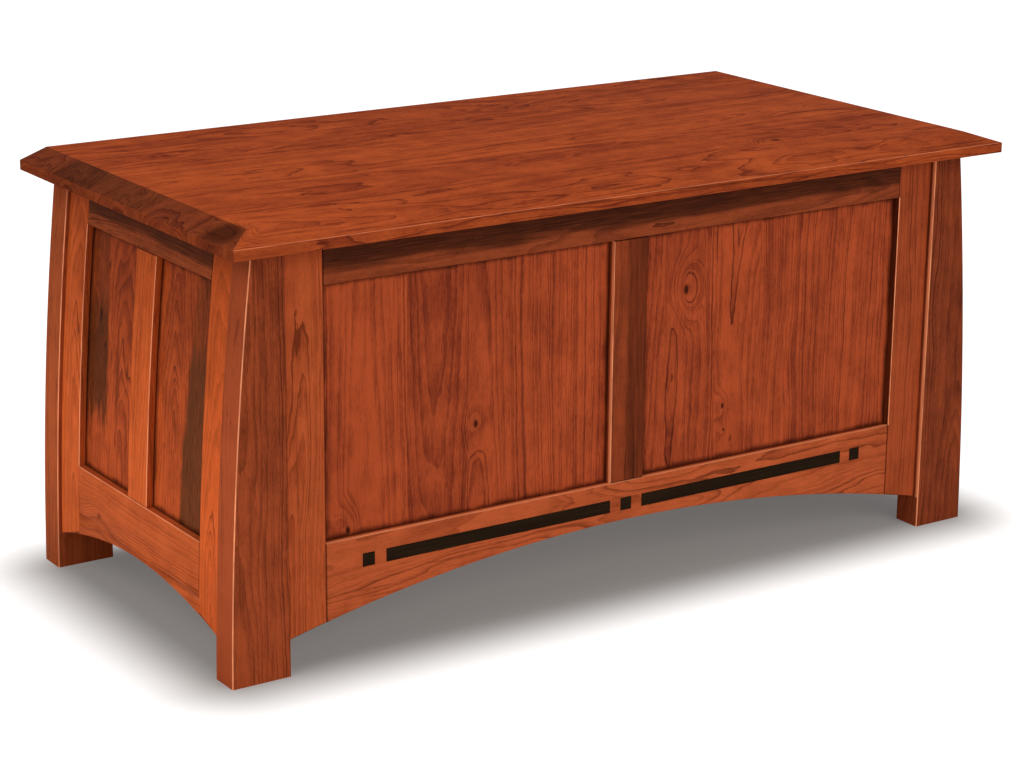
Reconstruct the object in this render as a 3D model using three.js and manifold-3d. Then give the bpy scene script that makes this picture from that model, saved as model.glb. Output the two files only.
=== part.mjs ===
// Blanket chest: four bowed legs, frame-and-panel walls, a bevelled lid on butt hinges
// and a folding lid stay. Millimetres, +Z up, +X to the chest's right, front towards -Y.
// The origin is on the floor under the middle of the lid.
import * as THREE from "three";
import { mergeVertices } from "three/addons/utils/BufferGeometryUtils.js";
import Module from "manifold-3d";

const wasm = await Module();
wasm.setup();

// Clearance between pieces that are glued, let in or laid on each other
const FIT_GAP = 0.3;
// Overrun of every cutting solid past the face that it leaves
const CUT_OVERRUN = 5;
const HALF = 0.5;

// Case, measured over the legs
const CASE_HEIGHT = 506.5;
const CASE_DEPTH = 508;
const BETWEEN_LEGS_LENGTH = 954;

// Legs: upright inside, bowed outside, so that the foot is wider than the top
const LEG_FOOT_WIDTH = 76;
const LEG_TOP_WIDTH = 42;
const LEG_THICKNESS = 40;
const LEG_BOW = 6.6;
const LEG_CURVE_STEP = 32;

// Frames of the four walls
const FRAME_THICKNESS = 22;
const LONG_FRAME_RECESS = 8;
const END_FRAME_RECESS = 5;
const STILE_WIDTH = 52;
const MULLION_WIDTH = 50;
const TOP_RAIL_HEIGHT = 52;
const BOTTOM_RAIL_TOP = 149;

// Panels, and the groove that holds them and the rails' stub tenons
const PANEL_THICKNESS = 7;
const PANEL_RECESS = 9.5;
const GROOVE_DEPTH = 9;
const PANEL_TONGUE = 8;

// Arched lower edges
const LONG_ARCH_CROWN = 98.5;
const LONG_ARCH_SPRING = 40.5;
const END_ARCH_CROWN = 79;
const END_ARCH_SPRING = 46;
const LONG_ARCH_STEPS = 48;
const END_ARCH_STEPS = 24;

// Dark inlay let into the front bottom rail
const INLAY_SQUARE = 16;
const INLAY_GAP = 16;
const INLAY_TO_STILE = 49;
const INLAY_MIDDLE_HEIGHT = 119.5;
const INLAY_THICKNESS = 3;

// Bottom board and the cleats under it
const BOTTOM_THICKNESS = 12;
const CLEAT_WIDTH = 18;
const CLEAT_HEIGHT = 17;
const BOTTOM_BOARD_TOP = 128;

// Lid: bevelled along the front and both ends, square at the back
const LID_END_OVERHANG = 40;
const LID_FRONT_OVERHANG = 34;
const LID_BACK_OVERHANG = 14;
const LID_THICKNESS = 25.4;
const LID_EDGE_HEIGHT = 12.7;
const LID_BEVEL_WIDTH = 36;

// Butt hinges
const HINGE_TO_STILE = 47;
const HINGE_LENGTH = 76;
const HINGE_LEAF_WIDTH = 24;
const HINGE_LEAF_THICKNESS = 2;
const HINGE_BARREL_RADIUS = 3.5;
const HINGE_BARREL_STANDOFF = 4;
const HINGE_KNUCKLES = 5;
const HINGE_PIN_RADIUS = 1.6;
const HINGE_PIN_CLEARANCE = 0.2;
const HINGE_PIN_HEAD_RADIUS = 2.6;
const HINGE_PIN_HEAD_HEIGHT = 1.5;
const HINGE_RELIEF = 0.6;
const SCREW_RADIUS = 1.9;
const SCREW_LENGTH = 14;
const SCREW_SPACING = 26;
const SCREW_STAGGER = 3.5;
const ROUND_SIDES = 20;

// Folding lid stay, inside the right end
const STAY_CASE_PIVOT_FORWARD = 84;
const STAY_CASE_PIVOT_DROP = 75;
const STAY_LID_PIVOT_FORWARD = 120;
const STAY_LID_PIVOT_DROP = 18;
const STAY_LOWER_ARM_LENGTH = 111;
const STAY_OPEN_DEGREES = 95;
const STAY_OPEN_KNEE_BEND_DEGREES = 16;
const STAY_ARM_THICKNESS = 2.5;
const STAY_ARM_WIDTH = 13;
const STAY_PIVOT_RADIUS = 2.5;
const STAY_HEAD_RADIUS = 4.5;
const STAY_HEAD_HEIGHT = 1.5;
const STAY_CASE_HEAD_HEIGHT = 2;
const STAY_RUNNING_GAP = 0.5;
const STAY_WALL_GAP = 1.5;
const STAY_PLATE_THICKNESS = 2;
const STAY_PLATE_WIDTH = 21;
const STAY_PLATE_HEIGHT = 44;
const STAY_EAR_WIDTH = 16;
const STAY_EAR_TO_ARM = 4.5;
const STAY_LID_PLATE_WIDTH = 16;
const STAY_LID_PLATE_LENGTH = 36;

// Finishes
const wood = (color, roughness) => new THREE.MeshStandardMaterial({ color, roughness, metalness: 0 });
const darkCherry = wood("#5a2a17", 0.38);
const legCherry = wood("#8a3c20", 0.38);
const stileCherry = wood("#9c4524", 0.38);
const panelCherry = wood("#a04a28", 0.4);
const lidCherry = wood("#a24c27", 0.34);
const insideWood = wood("#b98a5c", 0.6);
const inlayWood = wood("#17100d", 0.35);
const brass = new THREE.MeshStandardMaterial({ color: "#b08a45", roughness: 0.35, metalness: 1 });

// Places worked out from the sizes above
const legInnerX = BETWEEN_LEGS_LENGTH * HALF;
const legInnerY = CASE_DEPTH * HALF - LEG_THICKNESS;
const longFrameFace = CASE_DEPTH * HALF - LONG_FRAME_RECESS;
const topRailBottom = CASE_HEIGHT - TOP_RAIL_HEIGHT;
const lidUnderside = CASE_HEIGHT + FIT_GAP;
const hingeY = CASE_DEPTH * HALF + HINGE_BARREL_STANDOFF;
const hingeZ = CASE_HEIGHT + FIT_GAP * HALF;
const bottomBoardUnderside = BOTTOM_BOARD_TOP - BOTTOM_THICKNESS;

// A closed three.js geometry as a solid, and a solid as a geometry again
function solidOf(geometry) {
  const bare = geometry.clone();
  bare.deleteAttribute("normal");
  bare.deleteAttribute("uv");
  const merged = mergeVertices(bare);
  return new wasm.Manifold(new wasm.Mesh({
    numProp: 3,
    vertProperties: new Float32Array(merged.attributes.position.array),
    triVerts: new Uint32Array(merged.index.array),
  }));
}

function geometryOf(solid) {
  const mesh = solid.getMesh();
  const geometry = new THREE.BufferGeometry();
  const places = new Float32Array(mesh.vertProperties);
  geometry.setAttribute("position", new THREE.BufferAttribute(places, mesh.numProp));
  geometry.setIndex(new THREE.BufferAttribute(new Uint32Array(mesh.triVerts), 1));
  geometry.computeVertexNormals();
  return geometry;
}

// Everything is drawn about the middle of the case, and the group carries it to the lid's middle
const chest = new THREE.Group();
chest.position.y = (LID_FRONT_OVERHANG - LID_BACK_OVERHANG) * HALF;

function place(name, solid, material) {
  const mesh = new THREE.Mesh(geometryOf(solid), material);
  mesh.name = name;
  chest.add(mesh);
}

// A block between two corners, given in any order
function block([x0, x1], [y0, y1], [z0, z1]) {
  const geometry = new THREE.BoxGeometry(Math.abs(x1 - x0), Math.abs(y1 - y0), Math.abs(z1 - z0));
  geometry.translate((x0 + x1) * HALF, (y0 + y1) * HALF, (z0 + z1) * HALF);
  return solidOf(geometry);
}

// An outline of [x, z] points swept along Y, or of [y, z] points swept along X
function prism(outline, [from, to], axis) {
  const low = Math.min(from, to);
  const points = outline.map(([across, up]) =>
    (axis === "y" ? new THREE.Vector2(up, across) : new THREE.Vector2(across, up)));
  const sweep = { depth: Math.abs(to - from), bevelEnabled: false };
  const geometry = new THREE.ExtrudeGeometry(new THREE.Shape(points), sweep);
  geometry.translate(0, 0, low);
  const ahead = new THREE.Vector3(1, 0, 0);
  const aside = new THREE.Vector3(0, 1, 0);
  const upward = new THREE.Vector3(0, 0, 1);
  const basis = new THREE.Matrix4();
  if (axis === "y") basis.makeBasis(upward, ahead, aside);
  else basis.makeBasis(aside, upward, ahead);
  return solidOf(geometry.applyMatrix4(basis));
}

// A round rod along X between two places
function rodX(radius, [x0, x1], y, z, sides = ROUND_SIDES) {
  const geometry = new THREE.CylinderGeometry(radius, radius, Math.abs(x1 - x0), sides);
  geometry.rotateZ(Math.PI * HALF);
  geometry.translate((x0 + x1) * HALF, y, z);
  return solidOf(geometry);
}

// A round rod along Z between two heights
function rodZ(radius, [z0, z1], x, y, sides = ROUND_SIDES) {
  const geometry = new THREE.CylinderGeometry(radius, radius, Math.abs(z1 - z0), sides);
  geometry.rotateX(Math.PI * HALF);
  geometry.translate(x, y, (z0 + z1) * HALF);
  return solidOf(geometry);
}

// Distance of a leg's outer face from the middle of the chest at a height:
// a straight line from foot to top, bowed out in a parabola whose middle stands LEG_BOW out
function legFaceX(z) {
  const share = z / CASE_HEIGHT;
  const bowShare = (share * (1 - share)) / (HALF * HALF);
  return legInnerX + LEG_FOOT_WIDTH + (LEG_TOP_WIDTH - LEG_FOOT_WIDTH) * share + LEG_BOW * bowShare;
}

function heightsBetween(low, high) {
  const steps = Math.max(1, Math.ceil((high - low) / LEG_CURVE_STEP));
  return Array.from({ length: steps + 1 }, (_, i) => low + ((high - low) * i) / steps);
}

// A board that follows the legs' bow, between two depths behind the legs' outer face
function bowedBoard(side, [alongLow, alongHigh], [zLow, zHigh], [outer, inner]) {
  const heights = heightsBetween(zLow, zHigh);
  const face = (inset) => heights.map((z) => [side * (legFaceX(z) - inset), z]);
  return prism([...face(outer), ...face(inner).reverse()], [alongLow, alongHigh], "y");
}

// Legs
for (const [endName, side] of [["left", -1], ["right", 1]]) {
  for (const [faceName, face] of [["front", -1], ["back", 1]]) {
    const outline = heightsBetween(0, CASE_HEIGHT).map((z) => [side * legFaceX(z), z]);
    outline.push([side * legInnerX, CASE_HEIGHT], [side * legInnerX, 0]);
    const leg = prism(outline, [face * legInnerY, face * CASE_DEPTH * HALF], "y");
    place(`leg_${faceName}_${endName}`, leg, legCherry);
  }
}

// The round arch under a wall: the space below an arc that springs from the legs
function archSpace(halfSpan, spring, crown, steps, depths, axis) {
  const rise = crown - spring;
  const radius = (halfSpan * halfSpan + rise * rise) / (rise + rise);
  const reach = Math.asin(halfSpan / radius);
  const outline = [[-halfSpan, -CUT_OVERRUN]];
  for (let i = 0; i <= steps; i += 1) {
    const angle = -reach + ((reach + reach) * i) / steps;
    outline.push([radius * Math.sin(angle), crown - radius + radius * Math.cos(angle)]);
  }
  outline.push([halfSpan, -CUT_OVERRUN]);
  return prism(outline, depths, axis);
}

// A wall: two stiles from top to arch, two rails and a mullion between them, two flat panels.
// board(along, heights, depths) makes one board of it, depths counted in from the frame's face
function buildWall({ name, sides, half, board, arch, topCut, bottomCut }) {
  const whole = [0, FRAME_THICKNESS];
  const groove = [PANEL_RECESS - FIT_GAP, PANEL_RECESS + PANEL_THICKNESS + FIT_GAP];
  const tongue = [PANEL_RECESS, PANEL_RECESS + PANEL_THICKNESS];
  const stileInner = half - STILE_WIDTH;
  const mullionHalf = MULLION_WIDTH * HALF;
  const tenonReach = GROOVE_DEPTH - FIT_GAP;
  const fullHeight = [-CUT_OVERRUN, CASE_HEIGHT + CUT_OVERRUN];
  const fullLength = [-half, half];

  // Rails, with a stub tenon as thick as the groove at each end
  const shoulder = stileInner - FIT_GAP;
  const railBoard = (heights) =>
    board([-shoulder, shoulder], heights, whole).add(
      board([-stileInner - tenonReach, stileInner + tenonReach], heights, tongue));
  const topGroove = board(fullLength,
    [topRailBottom - CUT_OVERRUN, topRailBottom + GROOVE_DEPTH], groove);
  const bottomGroove = board(fullLength,
    [BOTTOM_RAIL_TOP - GROOVE_DEPTH, BOTTOM_RAIL_TOP + CUT_OVERRUN], groove);
  let topRail = railBoard([topRailBottom, CASE_HEIGHT]).subtract(topGroove);
  let bottomRail = railBoard([0, BOTTOM_RAIL_TOP]).subtract(bottomGroove).subtract(arch);
  if (topCut) topRail = topRail.subtract(topCut);
  if (bottomCut) bottomRail = bottomRail.subtract(bottomCut);
  place(`${name}_top_rail`, topRail, darkCherry);
  place(`${name}_bottom_rail`, bottomRail, stileCherry);

  // Mullion, tenoned into the rails' grooves and grooved for a panel on each side
  const mullion = board([-mullionHalf, mullionHalf],
    [BOTTOM_RAIL_TOP + FIT_GAP, topRailBottom - FIT_GAP], whole)
    .add(board([-mullionHalf, mullionHalf],
      [BOTTOM_RAIL_TOP - tenonReach, topRailBottom + tenonReach], tongue))
    .subtract(board([-mullionHalf - CUT_OVERRUN, -mullionHalf + GROOVE_DEPTH], fullHeight, groove))
    .subtract(board([mullionHalf - GROOVE_DEPTH, mullionHalf + CUT_OVERRUN], fullHeight, groove));
  place(`${name}_mullion`, mullion, darkCherry);

  for (const [sideName, side] of [[sides[0], -1], [sides[1], 1]]) {
    const stile = board([side * stileInner, side * (half - FIT_GAP)], [0, CASE_HEIGHT], whole)
      .subtract(board([side * (stileInner - CUT_OVERRUN), side * (stileInner + GROOVE_DEPTH)],
        fullHeight, groove))
      .subtract(arch);
    place(`${name}_${sideName}_stile`, stile, stileCherry);
    const panel = board([side * (mullionHalf - PANEL_TONGUE), side * (stileInner + PANEL_TONGUE)],
      [BOTTOM_RAIL_TOP - PANEL_TONGUE, topRailBottom + PANEL_TONGUE], tongue);
    place(`${name}_${sideName}_panel`, panel, panelCherry);
  }
}

// Where the inlay's pieces lie along the front: a square, a strip, a square, a strip, a square
const stripStart = INLAY_SQUARE * HALF + INLAY_GAP;
const endSquareStart = legInnerX - STILE_WIDTH - INLAY_TO_STILE - INLAY_SQUARE;
const stripEnd = endSquareStart - INLAY_GAP;
const inlays = [
  ["inlay_left_square", -endSquareStart - INLAY_SQUARE, -endSquareStart],
  ["inlay_left_strip", -stripEnd, -stripStart],
  ["inlay_middle_square", -INLAY_SQUARE * HALF, INLAY_SQUARE * HALF],
  ["inlay_right_strip", stripStart, stripEnd],
  ["inlay_right_square", endSquareStart, endSquareStart + INLAY_SQUARE],
];
function inlaySolid([, from, to], gap, frontOverrun) {
  const reach = INLAY_SQUARE * HALF + gap;
  return block([from - gap, to + gap],
    [-longFrameFace - frontOverrun, -longFrameFace + INLAY_THICKNESS + gap],
    [INLAY_MIDDLE_HEIGHT - reach, INLAY_MIDDLE_HEIGHT + reach]);
}
for (const inlay of inlays) place(inlay[0], inlaySolid(inlay, 0, 0), inlayWood);

// Hinges: the case leaf is let into the back rail, the lid leaf into the lid
const outerHingeX = legInnerX - STILE_WIDTH - HINGE_TO_STILE - HINGE_LENGTH * HALF;
const hinges = [["left", -outerHingeX], ["middle", 0], ["right", outerHingeX]];
const leafFront = hingeY - HINGE_LEAF_WIDTH;
const screwPlaces = [-1, 0, 1].map((step) => [
  step * SCREW_SPACING,
  (leafFront + longFrameFace) * HALF + (step === 0 ? SCREW_STAGGER : -SCREW_STAGGER) * HALF,
]);
// A leaf with its screws, or the gain and pilot holes for it; up is 1 for the lid's leaf
function leafPlate(x, up, gap) {
  const seat = up > 0 ? lidUnderside : CASE_HEIGHT;
  const face = up > 0 ? seat : seat - HINGE_LEAF_THICKNESS;
  const lengthHalf = HINGE_LENGTH * HALF + gap;
  const heights = gap > 0
    ? [seat - up * CUT_OVERRUN, seat + up * (HINGE_LEAF_THICKNESS + gap)]
    : [face, face + HINGE_LEAF_THICKNESS];
  let solid = block([x - lengthHalf, x + lengthHalf], [leafFront - gap, hingeY], heights);
  for (const [across, y] of screwPlaces) {
    const shank = [seat + up * HINGE_LEAF_THICKNESS * HALF, seat + up * (SCREW_LENGTH + gap)];
    solid = solid.add(rodZ(SCREW_RADIUS + gap, shank, x + across, y));
  }
  return solid;
}
const knuckleLength = HINGE_LENGTH / HINGE_KNUCKLES;
function hingeLeaf(x, up) {
  let leaf = leafPlate(x, up, 0);
  const ends = [x - HINGE_LENGTH * HALF - CUT_OVERRUN, x + HINGE_LENGTH * HALF + CUT_OVERRUN];
  leaf = leaf.subtract(rodX(HINGE_BARREL_RADIUS + HINGE_RELIEF, ends, hingeY, hingeZ));
  for (let i = 0; i < HINGE_KNUCKLES; i += 1) {
    const onLid = i % 2 === 1;
    if (onLid !== up > 0) continue;
    const start = x - HINGE_LENGTH * HALF + i * knuckleLength + FIT_GAP * HALF;
    const span = [start, start + knuckleLength - FIT_GAP];
    const seat = up > 0 ? lidUnderside : CASE_HEIGHT - HINGE_LEAF_THICKNESS;
    leaf = leaf.add(rodX(HINGE_BARREL_RADIUS, span, hingeY, hingeZ));
    leaf = leaf.add(block(span, [hingeY - HINGE_BARREL_RADIUS - HINGE_RELIEF - HINGE_LEAF_THICKNESS, hingeY],
      [seat, seat + HINGE_LEAF_THICKNESS]));
  }
  return leaf.subtract(rodX(HINGE_PIN_RADIUS + HINGE_PIN_CLEARANCE, ends, hingeY, hingeZ));
}
let railGains = null;
let lidGains = null;
for (const [hingeName, x] of hinges) {
  place(`hinge_${hingeName}_case_leaf`, hingeLeaf(x, -1), brass);
  place(`hinge_${hingeName}_lid_leaf`, hingeLeaf(x, 1), brass);
  const pinHalf = HINGE_LENGTH * HALF + FIT_GAP;
  const pinEnd = pinHalf + HINGE_PIN_HEAD_HEIGHT;
  const pin = rodX(HINGE_PIN_RADIUS, [x - pinEnd, x + pinEnd], hingeY, hingeZ)
    .add(rodX(HINGE_PIN_HEAD_RADIUS, [x - pinEnd, x - pinHalf], hingeY, hingeZ))
    .add(rodX(HINGE_PIN_HEAD_RADIUS, [x + pinHalf, x + pinEnd], hingeY, hingeZ));
  place(`hinge_${hingeName}_pin`, pin, brass);
  const railGain = leafPlate(x, -1, FIT_GAP);
  const reliefHalf = pinEnd + HINGE_RELIEF;
  const relief = rodX(HINGE_BARREL_RADIUS + HINGE_RELIEF, [x - reliefHalf, x + reliefHalf], hingeY, hingeZ);
  const lidGain = leafPlate(x, 1, FIT_GAP).add(relief);
  railGains = railGains ? railGains.add(railGain) : railGain;
  lidGains = lidGains ? lidGains.add(lidGain) : lidGain;
}

// Front and back walls stand straight between the legs
for (const [name, face] of [["front", -1], ["back", 1]]) {
  buildWall({
    name,
    sides: ["left", "right"],
    half: legInnerX,
    board: (along, heights, [outer, inner]) =>
      block(along, [face * (longFrameFace - outer), face * (longFrameFace - inner)], heights),
    arch: archSpace(legInnerX, LONG_ARCH_SPRING, LONG_ARCH_CROWN, LONG_ARCH_STEPS,
      [face * (longFrameFace + CUT_OVERRUN), face * (longFrameFace - FRAME_THICKNESS - CUT_OVERRUN)], "y"),
    topCut: face > 0 ? railGains : null,
    bottomCut: face < 0
      ? inlays.map((inlay) => inlaySolid(inlay, FIT_GAP, CUT_OVERRUN)).reduce((a, b) => a.add(b))
      : null,
  });
}

// End walls follow the legs' bow
for (const [name, side] of [["left", -1], ["right", 1]]) {
  buildWall({
    name,
    sides: ["front", "back"],
    half: legInnerY,
    board: (along, heights, [outer, inner]) =>
      bowedBoard(side, along, heights, [END_FRAME_RECESS + outer, END_FRAME_RECESS + inner]),
    arch: archSpace(legInnerY, END_ARCH_SPRING, END_ARCH_CROWN, END_ARCH_STEPS,
      [side * legInnerX, side * (legInnerX + LEG_FOOT_WIDTH)], "x"),
    topCut: null,
    bottomCut: null,
  });
}

// Bottom board, notched round the legs, and the four cleats that carry it
const wallInside = longFrameFace - FRAME_THICKNESS;
const endInset = END_FRAME_RECESS + FRAME_THICKNESS + FIT_GAP;
const boardReachX = legFaceX(BOTTOM_BOARD_TOP) - endInset;
const notch = (sx, sy) => block([sx * (legInnerX - FIT_GAP), sx * (boardReachX + CUT_OVERRUN)],
  [sy * (legInnerY - FIT_GAP), sy * (wallInside + CUT_OVERRUN)],
  [bottomBoardUnderside - CUT_OVERRUN, BOTTOM_BOARD_TOP + CUT_OVERRUN]);
let bottomBoard = block([-boardReachX, boardReachX], [-wallInside + FIT_GAP, wallInside - FIT_GAP],
  [bottomBoardUnderside, BOTTOM_BOARD_TOP]);
for (const [sx, sy] of [[-1, -1], [1, -1], [-1, 1], [1, 1]]) {
  bottomBoard = bottomBoard.subtract(notch(sx, sy));
}
place("bottom_board", bottomBoard, insideWood);
const cleatTop = bottomBoardUnderside - FIT_GAP;
const cleatHeights = [cleatTop - CLEAT_HEIGHT, cleatTop];
for (const [name, face] of [["front", -1], ["back", 1]]) {
  const outer = wallInside - FIT_GAP;
  place(`cleat_${name}`, block([-legInnerX + FIT_GAP, legInnerX - FIT_GAP],
    [face * outer, face * (outer - CLEAT_WIDTH)], cleatHeights), insideWood);
}
for (const [name, side] of [["left", -1], ["right", 1]]) {
  place(`cleat_${name}`, bowedBoard(side, [-legInnerY + FIT_GAP, legInnerY - FIT_GAP], cleatHeights,
    [endInset, endInset + CLEAT_WIDTH]), insideWood);
}

// Lid
const lidEnd = legFaceX(CASE_HEIGHT) + LID_END_OVERHANG;
const lidFront = -CASE_DEPTH * HALF - LID_FRONT_OVERHANG;
const lidBack = CASE_DEPTH * HALF + LID_BACK_OVERHANG;
const lidTop = lidUnderside + LID_THICKNESS;
const bevelBottom = lidUnderside + LID_EDGE_HEIGHT;
const bevelSlope = (lidTop - bevelBottom) / LID_BEVEL_WIDTH;
// The wood taken off above a bevel that starts at the edge and rises inwards
function bevelWaste(edge, inward) {
  const over = inward * CUT_OVERRUN;
  const rise = bevelSlope * CUT_OVERRUN;
  return [
    [edge - over, bevelBottom - rise],
    [edge + inward * LID_BEVEL_WIDTH + over, lidTop + rise],
    [edge - over, lidTop + rise],
  ];
}
const lidAcross = [-lidEnd - CUT_OVERRUN, lidEnd + CUT_OVERRUN];
const lidAlong = [lidFront - CUT_OVERRUN, lidBack + CUT_OVERRUN];
const lid = block([-lidEnd, lidEnd], [lidFront, lidBack], [lidUnderside, lidTop])
  .subtract(prism(bevelWaste(lidFront, 1), lidAcross, "x"))
  .subtract(prism(bevelWaste(-lidEnd, 1), lidAlong, "y"))
  .subtract(prism(bevelWaste(lidEnd, -1), lidAlong, "y"))
  .subtract(lidGains);
place("lid_board", lid, lidCherry);

// Folding stay: two arms that lie folded with the lid shut and nearly straight with it open
const radians = THREE.MathUtils.degToRad;
const caseY = hingeY - STAY_CASE_PIVOT_FORWARD;
const caseZ = hingeZ - STAY_CASE_PIVOT_DROP;
const lidY = hingeY - STAY_LID_PIVOT_FORWARD;
const lidZ = hingeZ - STAY_LID_PIVOT_DROP;
// The lid pivot with the lid open, turned about the hinge pins, sets the upper arm's length
const turn = radians(STAY_OPEN_DEGREES);
const openForward = STAY_LID_PIVOT_FORWARD * Math.cos(turn) + STAY_LID_PIVOT_DROP * Math.sin(turn);
const openRise = STAY_LID_PIVOT_FORWARD * Math.sin(turn) - STAY_LID_PIVOT_DROP * Math.cos(turn);
const openSpan = Math.hypot(openForward - STAY_CASE_PIVOT_FORWARD, openRise + STAY_CASE_PIVOT_DROP);
const bend = radians(STAY_OPEN_KNEE_BEND_DEGREES);
const upperArmLength = Math.sqrt(openSpan ** 2 - (STAY_LOWER_ARM_LENGTH * Math.sin(bend)) ** 2)
  - STAY_LOWER_ARM_LENGTH * Math.cos(bend);
// The knee at rest is where the two arms meet, on the side away from the hinge
const restSpan = Math.hypot(lidY - caseY, lidZ - caseZ);
const kneeAlong = (restSpan + (STAY_LOWER_ARM_LENGTH ** 2 - upperArmLength ** 2) / restSpan) * HALF;
const kneeOut = Math.sqrt(STAY_LOWER_ARM_LENGTH ** 2 - kneeAlong ** 2);
const alongY = (lidY - caseY) / restSpan;
const alongZ = (lidZ - caseZ) / restSpan;
const kneeY = caseY + alongY * kneeAlong - alongZ * kneeOut;
const kneeZ = caseZ + alongZ * kneeAlong + alongY * kneeOut;

const wallAtPivot = legFaceX(caseZ) - endInset;
const armOuterX = legFaceX(CASE_HEIGHT) - endInset - STAY_WALL_GAP;
const lowerArm = [armOuterX - STAY_ARM_THICKNESS, armOuterX];
const upperArmOuterX = lowerArm[0] - STAY_CASE_HEAD_HEIGHT - FIT_GAP - STAY_RUNNING_GAP;
const upperArm = [upperArmOuterX - STAY_ARM_THICKNESS, upperArmOuterX];
const ear = [upperArm[0] - STAY_EAR_TO_ARM - STAY_ARM_THICKNESS, upperArm[0] - STAY_EAR_TO_ARM];
// A flat bar with round ends between two pivots
function armBar(span, y0, z0, y1, z1) {
  const radius = STAY_ARM_WIDTH * HALF;
  const length = Math.hypot(y1 - y0, z1 - z0);
  const bar = new THREE.BoxGeometry(Math.abs(span[1] - span[0]), length, STAY_ARM_WIDTH);
  bar.rotateX(Math.atan2(z1 - z0, y1 - y0));
  bar.translate((span[0] + span[1]) * HALF, (y0 + y1) * HALF, (z0 + z1) * HALF);
  return solidOf(bar).add(rodX(radius, span, y0, z0)).add(rodX(radius, span, y1, z1));
}
const pivotHole = STAY_PIVOT_RADIUS + HINGE_PIN_CLEARANCE;

// Case bracket: a plate on the end wall with a boss, and a headed pin for the lower arm
const plateHeights = [caseZ - STAY_PLATE_HEIGHT * HALF, caseZ + STAY_PLATE_HEIGHT * HALF];
const caseHead = [lowerArm[0] - FIT_GAP - STAY_CASE_HEAD_HEIGHT, lowerArm[0] - FIT_GAP];
const bossFoot = wallAtPivot - STAY_PLATE_THICKNESS * HALF;
const caseBracket = bowedBoard(1, [caseY - STAY_PLATE_WIDTH * HALF, caseY + STAY_PLATE_WIDTH * HALF],
  plateHeights, [endInset, endInset + STAY_PLATE_THICKNESS])
  .add(rodX(STAY_HEAD_RADIUS, [lowerArm[1] + FIT_GAP, bossFoot], caseY, caseZ))
  .add(rodX(STAY_PIVOT_RADIUS, [caseHead[0], bossFoot], caseY, caseZ))
  .add(rodX(STAY_HEAD_RADIUS, caseHead, caseY, caseZ));
place("stay_case_bracket", caseBracket, brass);

// Lower arm, with the knee rivet fixed in it
const kneeHead = [upperArm[0] - FIT_GAP - STAY_HEAD_HEIGHT, upperArm[0] - FIT_GAP];
const lower = armBar(lowerArm, caseY, caseZ, kneeY, kneeZ)
  .subtract(rodX(pivotHole, [lowerArm[0] - CUT_OVERRUN, lowerArm[1] + CUT_OVERRUN], caseY, caseZ))
  .add(rodX(STAY_HEAD_RADIUS, [upperArm[1] + FIT_GAP, lowerArm[0] + STAY_ARM_THICKNESS * HALF], kneeY, kneeZ))
  .add(rodX(STAY_PIVOT_RADIUS, [kneeHead[0], lowerArm[0] + STAY_ARM_THICKNESS * HALF], kneeY, kneeZ))
  .add(rodX(STAY_HEAD_RADIUS, kneeHead, kneeY, kneeZ));
place("stay_lower_arm", lower, brass);

// Upper arm, with a round rivet head over its pivot on the lid bracket
const lidRivet = [upperArm[1] - STAY_ARM_THICKNESS * HALF, upperArm[1] + STAY_HEAD_HEIGHT];
const upper = armBar(upperArm, kneeY, kneeZ, lidY, lidZ)
  .subtract(rodX(pivotHole, [upperArm[0] - CUT_OVERRUN, upperArm[1] + CUT_OVERRUN], kneeY, kneeZ))
  .add(rodX(STAY_HEAD_RADIUS, lidRivet, lidY, lidZ));
place("stay_upper_arm", upper, brass);

// Lid bracket: a plate under the lid, bent down into an ear that carries the pivot
const lidPlateTop = lidUnderside - FIT_GAP;
const lidBracket = block([ear[1] - STAY_LID_PLATE_WIDTH, ear[1]],
  [lidY - STAY_LID_PLATE_LENGTH * HALF, lidY + STAY_LID_PLATE_LENGTH * HALF],
  [lidPlateTop - STAY_PLATE_THICKNESS, lidPlateTop])
  .add(block(ear, [lidY - STAY_EAR_WIDTH * HALF, lidY + STAY_EAR_WIDTH * HALF], [lidZ, lidPlateTop]))
  .add(rodX(STAY_EAR_WIDTH * HALF, ear, lidY, lidZ))
  .add(rodX(STAY_HEAD_RADIUS, [ear[0] + STAY_ARM_THICKNESS * HALF, upperArm[0] - FIT_GAP], lidY, lidZ));
place("stay_lid_bracket", lidBracket, brass);

export default chest;
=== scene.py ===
import itertools
import math

import bmesh
import bpy
import numpy as np
from mathutils import Matrix, Vector


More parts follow.
